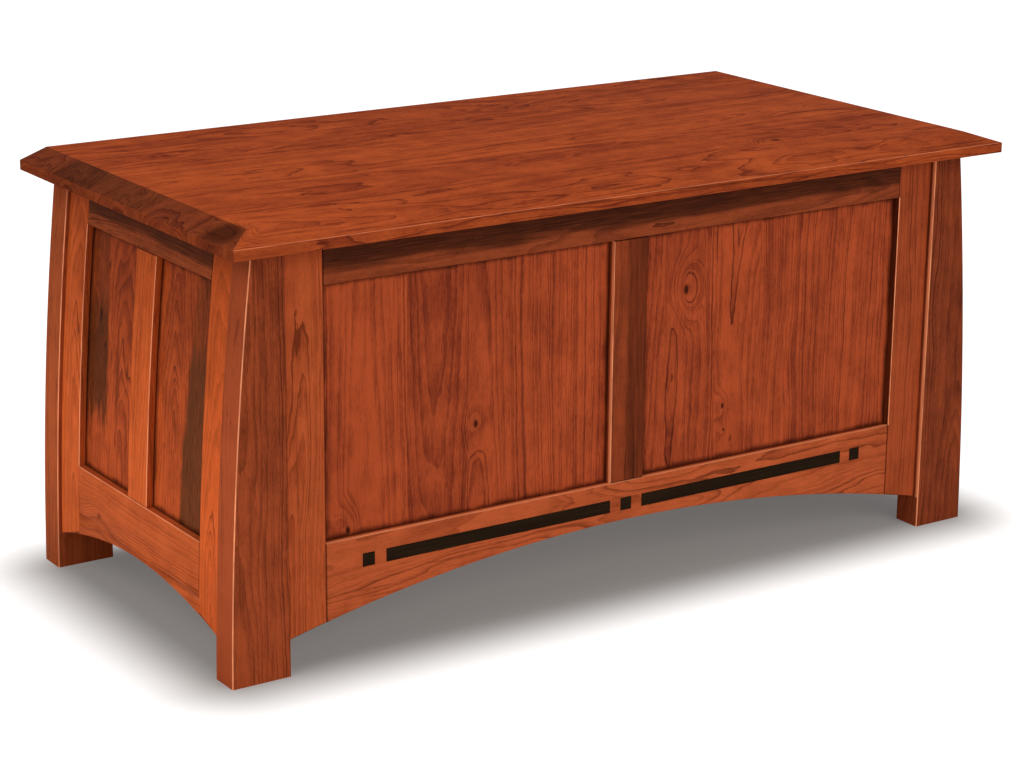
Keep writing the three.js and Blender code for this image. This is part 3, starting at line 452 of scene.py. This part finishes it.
def cherry(name, log, order, low, high, pale="#b6502a", deep="#742d1a", heart=None, heart_colour="#3d180c",
           strips=(strip(10, 45),), joints_mm=(), knots=(), pitch_mm=5.0, figure_mm=70, streaks=0.35,
           late=(0.4,), rise=0.0, side_tones=(), recess=None, rub_mm=None, edge_mm=None, edges=(), outer=None,
           wear=1.0, pale_edge=0.95, dark_edge=0.0, soaks=(0.5,), gloss=0.045):
    """Lacquered cherry for one board, cut from a numbered log, whose corners are low and high.

    order names the axes along the grain, across it and through the board. Lengths are in mm from
    the board's middle. The board is glued from strips, with joints_mm between them. pitch_mm is
    the rings' spacing, figure_mm how far slow noise bends them, and late how dark they end on
    each strip. The tone runs from pale to deep. It rises by rise a metre along the grain, which
    paints shade towards the top of a board under the lid, and side_tones add to it on faces that
    point a way, which paints a side lighter or darker as light falls. heart holds what heart_share
    takes, and recess is a panel's window, along whose rim shade is painted.

    Sanding wore the arrises. Those that face the front, the left or the top are painted paler, as
    sanded wood and as highlights of the lamps, up to each board's given strength. Whole edge faces
    that point one of the ways in edges get painted light by pale_edge and painted shade by
    dark_edge. Both lie within rub_mm and edge_mm, each a range along and a range across. outer is
    the side, -1 or 1, that the board's open face is on: painted light on edge faces is brightest
    next to it and none in the shaded corner.
    soaks says how much stain each strip's slanted end grain drank, streaks how strong the mineral
    streaks are, and gloss how much lacquer lies on the faces.
    """
    wood, tree = material(name)
    axes = ["xyz".index(axis) for axis in order]
    middle = [(low[i] + high[i]) / 2 for i in range(3)]
    sources = add(tree, "ShaderNodeTexCoord").node.outputs
    centred = add(tree, "ShaderNodeMapping", {"Vector": sources["Object"], "Location": [-c for c in middle]})
    parts = add(tree, "ShaderNodeSeparateXYZ", {0: centred}).node.outputs
    along, across, through = (parts[axis] for axis in axes)
    facet = add(tree, "ShaderNodeNewGeometry").node.outputs["True Normal"]
    facet = add(tree, "ShaderNodeVectorTransform", {0: facet}, vector_type="NORMAL", convert_from="WORLD",
                convert_to="OBJECT")
    normals = add(tree, "ShaderNodeSeparateXYZ", {0: facet}).node.outputs
    face = add(tree, "ShaderNodeCombineXYZ", {i: normals[axis] for i, axis in enumerate(axes)})

    # Arrises paler from sanding and painted as highlights, and edge faces with painted light or painted shade
    worn_and_highlit = add(tree, "ShaderNodeVectorMath", {0: facet, 1: HIGHLIGHT_WAY}, operation="DOT_PRODUCT", out=1)
    worn_and_highlit = add(tree, "ShaderNodeMapRange", {0: worn_and_highlit, 1: 0.35, 2: 0.7, 4: wear}, **EASED)
    worn_and_highlit = within(tree, worn_and_highlit, along, across, rub_mm)
    edge = 0.0
    for way in edges:
        edge = add(tree, "ShaderNodeMath", {0: toward(tree, facet, way), 1: edge}, operation="MAXIMUM")
    edge = within(tree, edge, along, across, edge_mm or rub_mm)
    dark = add(tree, "ShaderNodeMath", {0: edge, 1: dark_edge}, operation="MULTIPLY")
    edge = add(tree, "ShaderNodeMath", {0: edge, 1: pale_edge}, operation="MULTIPLY")
    # The painted edge light fades from the open face into the shaded corner
    if outer:
        half = (high[axes[2]] - low[axes[2]]) / 2
        plain, palest = (outer * (half - depth * MM) for depth in EDGE_LIGHT_FADE_MM)
        edge_light_fade = add(tree, "ShaderNodeMapRange", {0: through, 1: plain, 2: palest}, **EASED)
        edge = add(tree, "ShaderNodeMath", {0: edge, 1: edge_light_fade}, operation="MULTIPLY")

    # Each strip lies elsewhere in its log, with a thin dark glue line between two
    past = [add(tree, "ShaderNodeMath", {0: across, 1: joint * MM}, operation="GREATER_THAN")
            for joint in joints_mm]
    for joint in joints_mm:
        line = add(tree, "ShaderNodeMath", {0: across, 1: joint * MM, 2: GLUE_LINE_MM / 2 * MM},
                   operation="COMPARE")
        dark = add(tree, "ShaderNodeMath", {0: line, 1: GLUE_LINE_DARK, 2: dark}, operation="MULTIPLY_ADD")

    def by_strip(values):
        """The first strip's value, plus each change once its joint is past."""
        total = values[0]
        for step, before, after in zip(past, values, values[1:]):
            total = add(tree, "ShaderNodeMath", {0: step, 1: after - before, 2: total},
                        operation="MULTIPLY_ADD")
        return total

    tones, sides, depths, slopes = ([one[i] for one in strips] for i in range(4))
    starts = [NEXT_BOARD * log + NEXT_STRIP * i for i in range(len(strips))]
    slide = add(tree, "ShaderNodeMath", {0: along, 1: by_strip(starts)}, operation="ADD")
    aside = by_strip([side * MM for side in sides])
    aside = add(tree, "ShaderNodeMath", {0: across, 1: aside}, operation="ADD")
    behind = by_strip([depth * MM for depth in depths])
    behind = add(tree, "ShaderNodeMath", {0: through, 1: behind}, operation="ADD")
    behind = add(tree, "ShaderNodeMath", {0: along, 1: by_strip(slopes), 2: behind}, operation="MULTIPLY_ADD")
    place = add(tree, "ShaderNodeCombineXYZ", {0: slide, 1: aside, 2: behind})
    # rise paints a board darker towards its top, as shade of the lid; side_tones paint sides lighter or
    # darker, as light falls
    tone = add(tree, "ShaderNodeMath", {0: along, 1: rise, 2: by_strip(tones)}, operation="MULTIPLY_ADD")
    for way, change in side_tones:
        tone = add(tree, "ShaderNodeMath", {0: toward(tree, facet, way), 1: change, 2: tone},
                   operation="MULTIPLY_ADD")

    # Knots, painted shade along a panel's rim, and heartwood
    ring_shift, spots = knot_marks(tree, along, across, knots)
    dark = add(tree, "ShaderNodeMath", {0: spots, 1: dark}, operation="MAXIMUM")
    if recess:
        rim = rim_painted_shade(tree, place, along, across, recess)
        dark = add(tree, "ShaderNodeMath", {0: rim, 1: dark}, operation="MAXIMUM")
    heartwood = heart_share(tree, place, along, across, **heart) if heart else 0.0

    grown = add(tree, "ShaderNodeGroup", {
        "Grain": place, "Face": face, "Pale": colour(pale), "Deep": colour(deep),
        "Heart": colour(heart_colour), "Pitch": pitch_mm * MM, "Figure": figure_mm * MM,
        "Ring shift": ring_shift, "Heartwood": heartwood, "Streaks": streaks, "Dark": dark, "Tone": tone,
        "Worn and highlit": worn_and_highlit, "Edge": edge, "Soak": by_strip(soaks), "Gloss": gloss,
        "Late": by_strip(late)}, node_tree=CHERRY).node.outputs
    bump = add(tree, "ShaderNodeBump",
               {"Height": grown["Height"], "Strength": GRAIN_BUMP, "Distance": GRAIN_RELIEF_MM * MM})
    skin = add(tree, "ShaderNodeBsdfPrincipled",
               {"Base Color": grown["Colour"], "Roughness": grown["Roughness"], "Normal": bump,
                "Specular IOR Level": 0.0, "Coat Weight": grown["Gloss"], "Coat Roughness": COAT_ROUGHNESS,
                "Coat IOR": COAT_IOR})
    add(tree, "ShaderNodeOutputMaterial", {"Surface": skin})
    return wood


SHARP_DEGREES, ARRIS_LENGTH_MM = 30, 12


def smooth_group():
    """Shades bows smooth, keeps sharp edges sharp, and weighs the long sharp ones for the bevel.

    Edges whose middle lies between the heights Flush from and Flush to get no weight, because
    something is let in flush there.
    """
    tree = bpy.data.node_groups.new("smooth_bows", "GeometryNodeTree")
    for way in ("INPUT", "OUTPUT"):
        tree.interface.new_socket(name="Geometry", in_out=way, socket_type="NodeSocketGeometry")
    for name in ("Flush from", "Flush to"):
        tree.interface.new_socket(name=name, in_out="INPUT", socket_type="NodeSocketFloat")
    given = add(tree, "NodeGroupInput").node.outputs
    soft = add(tree, "GeometryNodeSetShadeSmooth", {"Geometry": given[0], "Shade Smooth": True},
               domain="FACE")
    turn = add(tree, "GeometryNodeInputMeshEdgeAngle")
    sharp = add(tree, "FunctionNodeCompare", {0: turn, 1: math.radians(SHARP_DEGREES)},
                operation="GREATER_THAN")
    hard = add(tree, "GeometryNodeSetShadeSmooth",
               {"Geometry": soft, "Selection": sharp, "Shade Smooth": False}, domain="EDGE")
    ends = add(tree, "GeometryNodeInputMeshEdgeVertices", out=2).node.outputs
    length = add(tree, "ShaderNodeVectorMath", {0: ends["Position 1"], 1: ends["Position 2"]},
                 operation="DISTANCE", out=1)
    long_edge = add(tree, "FunctionNodeCompare", {0: length, 1: ARRIS_LENGTH_MM * MM},
                    operation="GREATER_THAN")
    height = add(tree, "ShaderNodeSeparateXYZ", {0: add(tree, "GeometryNodeInputPosition")}, out=2)
    below = add(tree, "FunctionNodeCompare", {0: height, 1: given["Flush from"]}, operation="LESS_THAN")
    above = add(tree, "FunctionNodeCompare", {0: height, 1: given["Flush to"]}, operation="GREATER_THAN")
    clear = add(tree, "FunctionNodeBooleanMath", {0: below, 1: above}, operation="OR")
    arris = add(tree, "FunctionNodeBooleanMath", {0: sharp, 1: long_edge}, operation="AND")
    arris = add(tree, "FunctionNodeBooleanMath", {0: arris, 1: clear}, operation="AND")
    weighed = add(tree, "GeometryNodeStoreNamedAttribute",
                  {"Geometry": hard, "Selection": arris, "Name": "bevel_weight_edge", "Value": 1.0},
                  domain="EDGE", data_type="FLOAT")
    add(tree, "NodeGroupOutput", {"Geometry": weighed})
    return tree


SMOOTH_BOWS = smooth_group()
WELD_MM, FLAT_DEGREES = 0.01, 0.1


def finish_node(name, surface, arris_mm, segments=2, flush=None):
    """Gives a CAD node its material, joins its triangles into flat faces and rounds its arrises."""
    node = NODES[name]
    node.data.materials.clear()
    node.data.materials.append(surface)
    weld = node.modifiers.new("weld", "WELD")
    weld.merge_threshold = WELD_MM * MM
    merge = node.modifiers.new("flat_faces", "DECIMATE")
    merge.decimate_type = "DISSOLVE"
    merge.angle_limit = math.radians(FLAT_DEGREES)
    smooth = node.modifiers.new("smooth_bows", "NODES")
    smooth.node_group = SMOOTH_BOWS
    sockets = {item.name: item.identifier for item in SMOOTH_BOWS.interface.items_tree}
    for socket, height in zip(("Flush from", "Flush to"), flush or (0.0, 0.0)):
        smooth[sockets[socket]] = height
    if arris_mm:
        arris = node.modifiers.new("arris", "BEVEL")
        arris.width = arris_mm * MM
        arris.segments = segments
        arris.limit_method = "WEIGHT"
        arris.use_clamp_overlap = False
        arris.harden_normals = True


LOGS = itertools.count(1)


def board(name, order, arris_mm=1.1, flush=None, **wood):
    """One cherry board from the next log: a material over its CAD node's own corners, and eased arrises."""
    low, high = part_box(name)
    surface = cherry("cherry_" + name, next(LOGS), order, low, high, **wood)
    finish_node(name, surface, arris_mm, flush=flush)


# A leg's rise paints it darker towards the top, as shade of the lid, and the front-left leg's left face is
# painted paler, as light falls on it
LEG_BOARDS = {
    "leg_front_left": dict(pale="#a74c28", deep="#682b16", strips=(strip(22, 50, tone=0.1),), rise=0.7,
                           side_tones=(((-1, 0, 0), -0.5),)),
    "leg_front_right": dict(pale="#934223", deep="#5a2514", strips=(strip(-18, 55, tone=0.1),), rise=0.6,
                            streaks=0.5),
    "leg_back_left": dict(pale="#af532a", deep="#863c1e", strips=(strip(15, 60),), streaks=0.4),
    "leg_back_right": dict(pale="#a84c28", deep="#743018", strips=(strip(-20, 48),), streaks=0.5),
}
STILE_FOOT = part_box("front_left_stile")[0][2]
for name, wood in LEG_BOARDS.items():
    low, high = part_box(name)
    above_stiles = ((STILE_FOOT - (low[2] + high[2]) / 2) / MM, np.inf), (-np.inf, np.inf)
    inwards = (1 if "left" in name else -1, 0, 0)
    # A leg's inward face above the stiles' feet is painted lighter, as if in lamplight
    board(name, "zxy", arris_mm=1.2, edge_mm=above_stiles, edges=(inwards,),
          outer=-1 if "front" in name else 1, **wood)

# Front and back walls: frames of stiles, rails and a mullion, joined by stub tenons in grooves,
# round flat panels glued from three narrow boards. The grain runs along each board.
SHADE_LINE_SHIFT_MM, PAINTED_EDGE_BAND_MM = 4, 5


def window(panel, frame_pieces, order):
    """A panel's visible window in mm from its middle, along and across its grain.

    It starts 4 mm late on its low side, so that the painted shade along its rim shows past the frame.
    """
    low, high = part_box(panel)
    left, right, under, over = (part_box(piece) for piece in frame_pieces)
    axis = "xyz".index(order[1])
    middle = (low[axis] + high[axis]) / 2
    centre = (low[2] + high[2]) / 2
    side = ((left[1][axis] - middle) / MM + SHADE_LINE_SHIFT_MM, (right[0][axis] - middle) / MM)
    up = ((under[1][2] - centre) / MM, (over[0][2] - centre) / MM)
    return up, side


def opening(name, order):
    """Where a frame board's arrises and edge faces are painted paler: along the panels, and on a rail only
    its upper edge.
    """
    low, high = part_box(name)
    if order[0] != "z":
        half = (high[2] - low[2]) / 2 / MM
        return (-np.inf, np.inf), (half - PAINTED_EDGE_BAND_MM, np.inf)
    middle = (low[2] + high[2]) / 2
    under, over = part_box("front_bottom_rail")[1][2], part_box("front_top_rail")[0][2]
    return ((under - middle) / MM, (over - middle) / MM), (-np.inf, np.inf)


FRONT_BOARDS = {
    # A top rail's dark upper band is heartwood and painted shade of the lid above it
    "front_top_rail": dict(pale="#984726", deep="#642b17", heart=dict(start=-10, side=1, dark=0.92),
                           heart_colour="#34180c"),
    "front_bottom_rail": dict(pale="#c25c33", deep="#914020", strips=(strip(-40, 60),), figure_mm=90),
    "front_mullion": dict(pale="#9c4523", deep="#672d18", heart=dict(start=-2, side=1, dark=0.62),
                          streaks=0.7),
    # The stiles' rise paints them darker towards the top, as shade of the lid
    "front_left_stile": dict(pale="#bd582e", deep="#8a3a1c", strips=(strip(4, 25),), rise=0.5),
    # The right stile's edge faces beside the panels are painted dark, as shade
    "front_right_stile": dict(pale="#a94c28", deep="#7c341a", strips=(strip(60, 20),), rise=0.9,
                              pale_edge=0.0, dark_edge=0.7),
    "back_top_rail": dict(pale="#a04824", deep="#6a2c17", heart=dict(start=6, side=1, dark=0.6)),
    "back_bottom_rail": dict(pale="#b3532b", deep="#86381b", strips=(strip(30, 50),)),
    "back_mullion": dict(pale="#a34925", deep="#702f18", streaks=0.6),
    "back_left_stile": dict(pale="#b3532b", deep="#82361a", strips=(strip(-30, 30),)),
    "back_right_stile": dict(pale="#ad4f2a", deep="#7c341a", strips=(strip(12, 35),)),
}
INLAY_LOW, INLAY_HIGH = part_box("inlay_left_strip")
for name, wood in FRONT_BOARDS.items():
    order = "xzy" if "rail" in name else "zxy"
    # Stiles' and the mullion's side faces, and rails' top faces, are painted lighter, as if in lamplight
    edges = ((0, 0, 1),) if "rail" in name else ((1, 0, 0), (-1, 0, 0))
    # Top rails lie under the lid and get no painted highlight or painted edge light
    under_lid = "top_rail" in name
    board(name, order, flush=(INLAY_LOW[2] - MM, INLAY_HIGH[2] + MM) if name == "front_bottom_rail" else None,
          rub_mm=opening(name, order), edges=() if under_lid else edges, wear=0 if under_lid else 1,
          outer=-1 if name.startswith("front") else 1, **wood)

# Glued panels: joints and knots are in mm from the panel's middle
FRONT_PANELS = {
    "front_left_panel": dict(
        joints_mm=(-84, -1), figure_mm=24, late=(0.4, 1.0, 0.25), streaks=0.3,
        strips=(strip(140, 30, 0.03, tone=-0.1), strip(42, 38, -0.06, tone=0.22),
                strip(-14, 24, 0.05, tone=-0.02)),
        knots=(knot(-46, 10, 4, push=4.0), knot(-146, -165, 4))),
    "front_right_panel": dict(
        joints_mm=(-86, -17), figure_mm=60, late=(0.5, 0.5, 0.15), streaks=0.3,
        strips=(strip(150, 28, 0.04, tone=0.12), strip(52, 20, -0.05, tone=0.02),
                strip(90, 40, 0.01, tone=0.06)),
        knots=(knot(75, -133, 5), knot(-84, -71, 3), knot(-116, -68, 2))),
    "back_left_panel": dict(
        joints_mm=(-60, 50), figure_mm=60,
        strips=(strip(120, 30), strip(0, 26, 0.05, tone=0.1), strip(-90, 34, 0.03, tone=0.02))),
    "back_right_panel": dict(
        joints_mm=(-40, 75), figure_mm=60,
        strips=(strip(110, 30, 0.03, tone=0.08), strip(-20, 22, -0.05), strip(-140, 40, tone=0.1))),
}
for name, wood in FRONT_PANELS.items():
    wall, side = name.split("_")[:2]
    left, right = ("left_stile", "mullion") if side == "left" else ("mullion", "right_stile")
    pieces = [f"{wall}_{piece}" for piece in (left, right, "bottom_rail", "top_rail")]
    board(name, "zxy", arris_mm=0, pitch_mm=6.5, recess=window(name, pieces, "zxy"), **wood)

# End walls: made as the front, with every board bowed to follow the legs, and panels of one or two
# boards. The arched edge of a bottom rail is left sharp, because a bevel folds over the narrow
# facets of its bowed arch.
UNDER_ARCH = (0.0, 0.1)
END_BOARDS = {
    # The top rails' dark upper band is heartwood and painted shade of the lid above them
    "left_top_rail": dict(pale="#a44e28", deep="#682e18", strips=(strip(60, 40),),
                          heart=dict(start=-8, side=1, dark=0.85), heart_colour="#42200f"),
    "left_bottom_rail": dict(pale="#c65d2e", deep="#9a4320", strips=(strip(-90, 20),), figure_mm=40,
                             late=(0.2,), streaks=0.12, knots=(knot(104, -3, 6, 0.8, 0.5, 2.0),)),
    # The left end's rise paints its mullion and stiles darker towards the top, as shade of the lid
    "left_mullion": dict(pale="#cf5f2b", deep="#9e421b", strips=(strip(50, 20),), rise=1.4),
    "left_front_stile": dict(pale="#d65f2a", deep="#a3471d", rise=1.4),
    "left_back_stile": dict(pale="#cf5f2c", deep="#9b421d", strips=(strip(8, 30),), rise=1.4),
    "right_top_rail": dict(pale="#9a4522", deep="#642915", heart=dict(start=4, side=1, dark=0.7)),
    "right_bottom_rail": dict(pale="#b85a2e", deep="#8a3a1c", strips=(strip(50, 40),)),
    "right_mullion": dict(pale="#ad4f2a", deep="#7a331a", strips=(strip(30, 30),)),
    "right_front_stile": dict(pale="#b0512b", deep="#7e341a"),
    "right_back_stile": dict(pale="#a94c28", deep="#78321a", strips=(strip(-25, 40),)),
}
for name, wood in END_BOARDS.items():
    order = "yzx" if "rail" in name else "zyx"
    # Top rails, under the lid, get no painted highlight on their arrises
    board(name, order, arris_mm=1.0, flush=UNDER_ARCH if "bottom" in name else None,
          rub_mm=opening(name, order), wear=0 if "top" in name else 1, **wood)

# The left end panels' rise paints them darker towards the top, as shade of the lid
END_PANELS = {
    "left_back_panel": dict(
        pale="#bc5226", deep="#783017", strips=(strip(30, 26, 0.05, tone=0.15),), rise=1.2,
        heart=dict(start=13, side=1, dark=0.95, slope=0.06, foot=-80, head=60, above=0.5),
        heart_colour="#45240f",
        knots=(knot(47, 36, 5, 0.4, 0.75, 5.0), knot(12, 22, 3, 0.5, 0.85, 3.0),
               knot(-22, -14, 7, 0.09, 0.45, 0.0))),
    "left_front_panel": dict(
        pale="#bf5427", deep="#7c3217", strips=(strip(-30, 30, 0.04, tone=0.12),), rise=2.0,
        heart=dict(start=-9, side=-1, dark=0.96, slope=-0.06, foot=-200, head=60, above=0.4),
        heart_colour="#4e2e17"),
    "right_front_panel": dict(
        joints_mm=(10,), strips=(strip(60, 28, 0.03, tone=0.05), strip(-70, 30, tone=0.15))),
    "right_back_panel": dict(
        joints_mm=(-20,), strips=(strip(90, 30, tone=0.1), strip(-10, 26, 0.05))),
}
for name, wood in END_PANELS.items():
    wall, side = name.split("_")[:2]
    near, far = ("front_stile", "mullion") if side == "front" else ("mullion", "back_stile")
    pieces = [f"{wall}_{piece}" for piece in (near, far, "bottom_rail", "top_rail")]
    board(name, "zyx", arris_mm=0, streaks=0.6, recess=window(name, pieces, "zyx"), **wood)


# Inlay: near-black hardwood let into the front bottom rail, flush with it and under the same
# lacquer. Its grain barely shows.
def inlay_wood():
    """Dark oily hardwood under satin lacquer: two near blacks mixed by fine fibres."""
    wood, tree = material("black_inlay")
    place = add(tree, "ShaderNodeTexCoord").node.outputs["Object"]
    fibre = patches(tree, place, (70, 1.6), 3.0)
    shade = add(tree, "ShaderNodeMapRange", {0: fibre, 1: 0.35, 2: 0.7}, **EASED)
    shade = add(tree, "ShaderNodeMix", {0: shade, 6: colour("#21160c"), 7: colour("#2b1d10")}, out=2,
                data_type="RGBA")
    roughness = add(tree, "ShaderNodeMapRange", {0: fibre, 1: 0.3, 2: 0.7, 3: 0.38, 4: 0.5}, **EASED)
    skin = add(tree, "ShaderNodeBsdfPrincipled",
               {"Base Color": shade, "Roughness": roughness, "Specular IOR Level": 0.0, "Coat Weight": 0.03,
                "Coat Roughness": COAT_ROUGHNESS, "Coat IOR": COAT_IOR})
    add(tree, "ShaderNodeOutputMaterial", {"Surface": skin})
    return wood


BLACK_INLAY = inlay_wood()
for name in NODES:
    if name.startswith("inlay_"):
        finish_node(name, BLACK_INLAY, arris_mm=0)

# Bottom board and its cleats: planed pale wood under a thin coat. The board is glued up from wide
# strips and lies on four cleats that run along the insides of the walls.
PLANED = dict(pale="#c9a06c", deep="#a97a48", streaks=0.1)
board("bottom_board", "xyz", arris_mm=0, joints_mm=(-110, 0, 110),
      strips=(strip(230, 60, 0.01), strip(60, 50, tone=0.1), strip(-60, 70, 0.01),
              strip(-150, 60, tone=0.15)), **PLANED)
for name, order in {"front": "xzy", "back": "xzy", "left": "yzx", "right": "yzx"}.items():
    board("cleat_" + name, order, arris_mm=0.8, **PLANED)

# Lid: cherry boards glued edge to edge, bevelled along the front and both ends. The end grain in
# the end bevels drank more stain and is darker, and its rings show as arcs.
# The edges of the hinge gains' floors, between these heights, are left sharp: a bevel folds there
HINGE_GAIN_FLOOR = (0.508, 0.511)
# The lid's arrises that face the front, left or top get a painted highlight at under half strength
board("lid_board", "xyz", flush=HINGE_GAIN_FLOOR, pale="#af4f25", deep="#712a18",
      joints_mm=(-168, -60, 82, 182),
      strips=(strip(225, 36, tone=0.07), strip(130, 60, 0.03, tone=0.12), strip(20, 40, -0.025),
              strip(-150, 50, tone=0.14), strip(-240, 60, 0.03, tone=0.15)),
      knots=(knot(278, -160, 5), knot(-541, -224, 42, 1.5, 0.66)), pitch_mm=7.0, figure_mm=90, late=(0.42,),
      streaks=0.45, wear=0.45, soaks=(0.35, 0.3, 0.7, 1.0, 0.3), gloss=0.02)


# Hinges and stay: brass. The butts are let into the lid and the back rail, with knuckles round a
# loose pin. The stay's two arms are riveted to each other and to a plate at either end.
def brass():
    """Rolled and brushed brass under clear lacquer: fine scratches along the leaf."""
    metal, tree = material("brushed_brass")
    place = add(tree, "ShaderNodeTexCoord").node.outputs["Object"]
    cloud = add(tree, "ShaderNodeMapRange", {0: patches(tree, place, (18, 18)), 1: 0.35, 2: 0.7}, **EASED)
    shade = add(tree, "ShaderNodeMix", {0: cloud, 6: colour("#c9a052"), 7: colour("#a67c38")}, out=2,
                data_type="RGBA")
    brushed = patches(tree, place, (30, 0.6), 3.0)
    brushed = add(tree, "ShaderNodeMapRange", {0: brushed, 1: 0.3, 2: 0.7, 3: 0.24, 4: 0.40}, **EASED)
    skin = add(tree, "ShaderNodeBsdfPrincipled", {"Base Color": shade, "Metallic": 1.0, "Roughness": brushed})
    add(tree, "ShaderNodeOutputMaterial", {"Surface": skin})
    return metal


BRASS = brass()
for name in NODES:
    if name.startswith(("hinge_", "stay_")):
        finish_node(name, BRASS, arris_mm=0.25, segments=1)

# Screws: slotted brass heads. Those in the hinge leaves are filed almost flush, because the leaves
# close to 0.3 mm; those in the stay's plates are oval.
HEAD_RADIUS_MM, HEAD_SUNK_MM, HEAD_STEPS = 3.2, 0.1, 10
SLOT_HALF_MM = 0.45
HEAD_TURN = math.radians(67)
FILED_RISE_MM, FILED_SLOT_MM = 0.12, 0.02
OVAL_RISE_MM, OVAL_SLOT_MM = 0.5, 0.1
DOUBLES_MM = 0.001


def screw_heads(name, body, rise_mm, floor_mm, heads):
    """Slotted screw heads, joined in one piece. heads gives each one's place in mm and way out.

    A head is a grid of closed rows. Row v lies at R sin(t), and its points at u = a sqrt(R^2 - v^2),
    with a running from -1 to 1 over the dome and back under it. The dome's height is
    rise * (1 - (u^2 + v^2) / R^2), and between the doubled rows at the slot's walls it stops at the
    slot's floor. The underside is flat and sunk into the plate.
    """
    share = np.sin(np.linspace(-math.pi / 2, math.pi / 2, HEAD_STEPS + 1))
    rim = HEAD_RADIUS_MM * share[HEAD_RADIUS_MM * share > SLOT_HALF_MM]
    rows = np.concatenate([-rim[::-1], [-SLOT_HALF_MM] * 2, [SLOT_HALF_MM] * 2, rim])
    slotted = np.zeros(len(rows), bool)
    slotted[len(rim) + 1:len(rim) + 3] = True
    around = np.concatenate([share, share[::-1]])
    on_top = np.arange(len(around)) < len(share)
    v = np.repeat(rows[:, None], len(around), axis=1)
    u = around * np.sqrt(np.maximum(HEAD_RADIUS_MM ** 2 - v ** 2, 0.0))
    dome = rise_mm * np.maximum(1 - (u ** 2 + v ** 2) / HEAD_RADIUS_MM ** 2, 0.0)
    dome = np.where(slotted[:, None], np.minimum(dome, floor_mm), dome)
    height = np.where(on_top, dome, -HEAD_SUNK_MM)
    index = np.arange(v.size).reshape(v.shape)
    ahead = np.roll(index, -1, axis=1)
    faces = np.stack([index[:-1], ahead[:-1], ahead[1:], index[1:]], axis=-1).reshape(-1, 4)

    points, quads = [], []
    for number, (place, outward) in enumerate(heads):
        outward = np.array(outward) / np.linalg.norm(outward)
        level = np.cross(outward, (0.0, 1.0, 0.0))
        level /= np.linalg.norm(level)
        turn = HEAD_TURN * number
        first = math.cos(turn) * level + math.sin(turn) * np.cross(outward, level)
        second = np.cross(outward, first)
        points.append(np.array(place) + u.reshape(-1, 1) * first + v.reshape(-1, 1) * second
                      + height.reshape(-1, 1) * outward)
        quads.append(faces + number * v.size)
    mesh = bpy.data.meshes.new(name)
    mesh.from_pydata((np.concatenate(points) * MM).tolist(), [], np.concatenate(quads).tolist())
    shape = bmesh.new()
    shape.from_mesh(mesh)
    bmesh.ops.remove_doubles(shape, verts=shape.verts, dist=DOUBLES_MM * MM)
    shape.to_mesh(mesh)
    shape.free()
    mesh.shade_smooth()
    mesh.set_sharp_from_angle(angle=math.radians(SHARP_DEGREES))
    mesh.materials.append(BRASS)
    piece = bpy.data.objects.new(name, mesh)
    bpy.context.scene.collection.objects.link(piece)
    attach(piece, body)


def box_mm(name):
    """The two corners of a node's box in mm."""
    return [np.array(point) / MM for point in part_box(name)]


# Three in each leaf, the middle one nearer the barrel
SCREW_SPACING_MM, SCREW_STAGGER_MM = 26, 1.75
rail, lid = box_mm("back_top_rail"), box_mm("lid_board")
for body, leaf, face, up in (("case", "case_leaf", rail[1][2], 1), ("lid", "lid_leaf", lid[0][2], -1)):
    heads = []
    for hinge in ("hinge_left", "hinge_middle", "hinge_right"):
        low, high = box_mm(f"{hinge}_{leaf}")
        for step in (-1, 0, 1):
            y = (low[1] + rail[1][1]) / 2 + (SCREW_STAGGER_MM if step == 0 else -SCREW_STAGGER_MM)
            heads.append((((low[0] + high[0]) / 2 + step * SCREW_SPACING_MM, y, face), (0.0, 0.0, up)))
    screw_heads(f"hinge_{body}_screws", body, FILED_RISE_MM, FILED_SLOT_MM, heads)

# Two in the stay's plate on the bowed end wall, square to the bow at their height
PLATE_SCREW_OUT_MM, ON_FACE_MM = 16, 0.1
low, high = box_mm("stay_case_bracket")
middle = (low + high) / 2
plate = np.array([v.co for v in NODES["stay_case_bracket"].data.vertices]) / MM
plate = plate[plate[:, 1] < low[1] + ON_FACE_MM]
levels = np.unique(np.round(plate[:, 2], 1))
bow = [plate[abs(plate[:, 2] - level) < ON_FACE_MM, 0].min() for level in levels]
slope = (bow[-1] - bow[0]) / (levels[-1] - levels[0])
heights = [middle[2] + way * PLATE_SCREW_OUT_MM for way in (-1, 1)]
heads = [((np.interp(z, levels, bow), middle[1], z), (-1.0, 0.0, slope)) for z in heights]
screw_heads("stay_case_screws", "case", OVAL_RISE_MM, OVAL_SLOT_MM, heads)

# Two in the stay's plate under the lid
LID_SCREW_OUT_MM, LID_SCREW_IN_MM, LID_PLATE_MM = 13, 8, 2
low, high = box_mm("stay_lid_bracket")
heads = [((low[0] + LID_SCREW_IN_MM, (low[1] + high[1]) / 2 + way * LID_SCREW_OUT_MM, high[2] - LID_PLATE_MM),
          (0.0, 0.0, -1.0)) for way in (-1, 1)]
screw_heads("stay_lid_screws", "lid", OVAL_RISE_MM, OVAL_SLOT_MM, heads)

low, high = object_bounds()
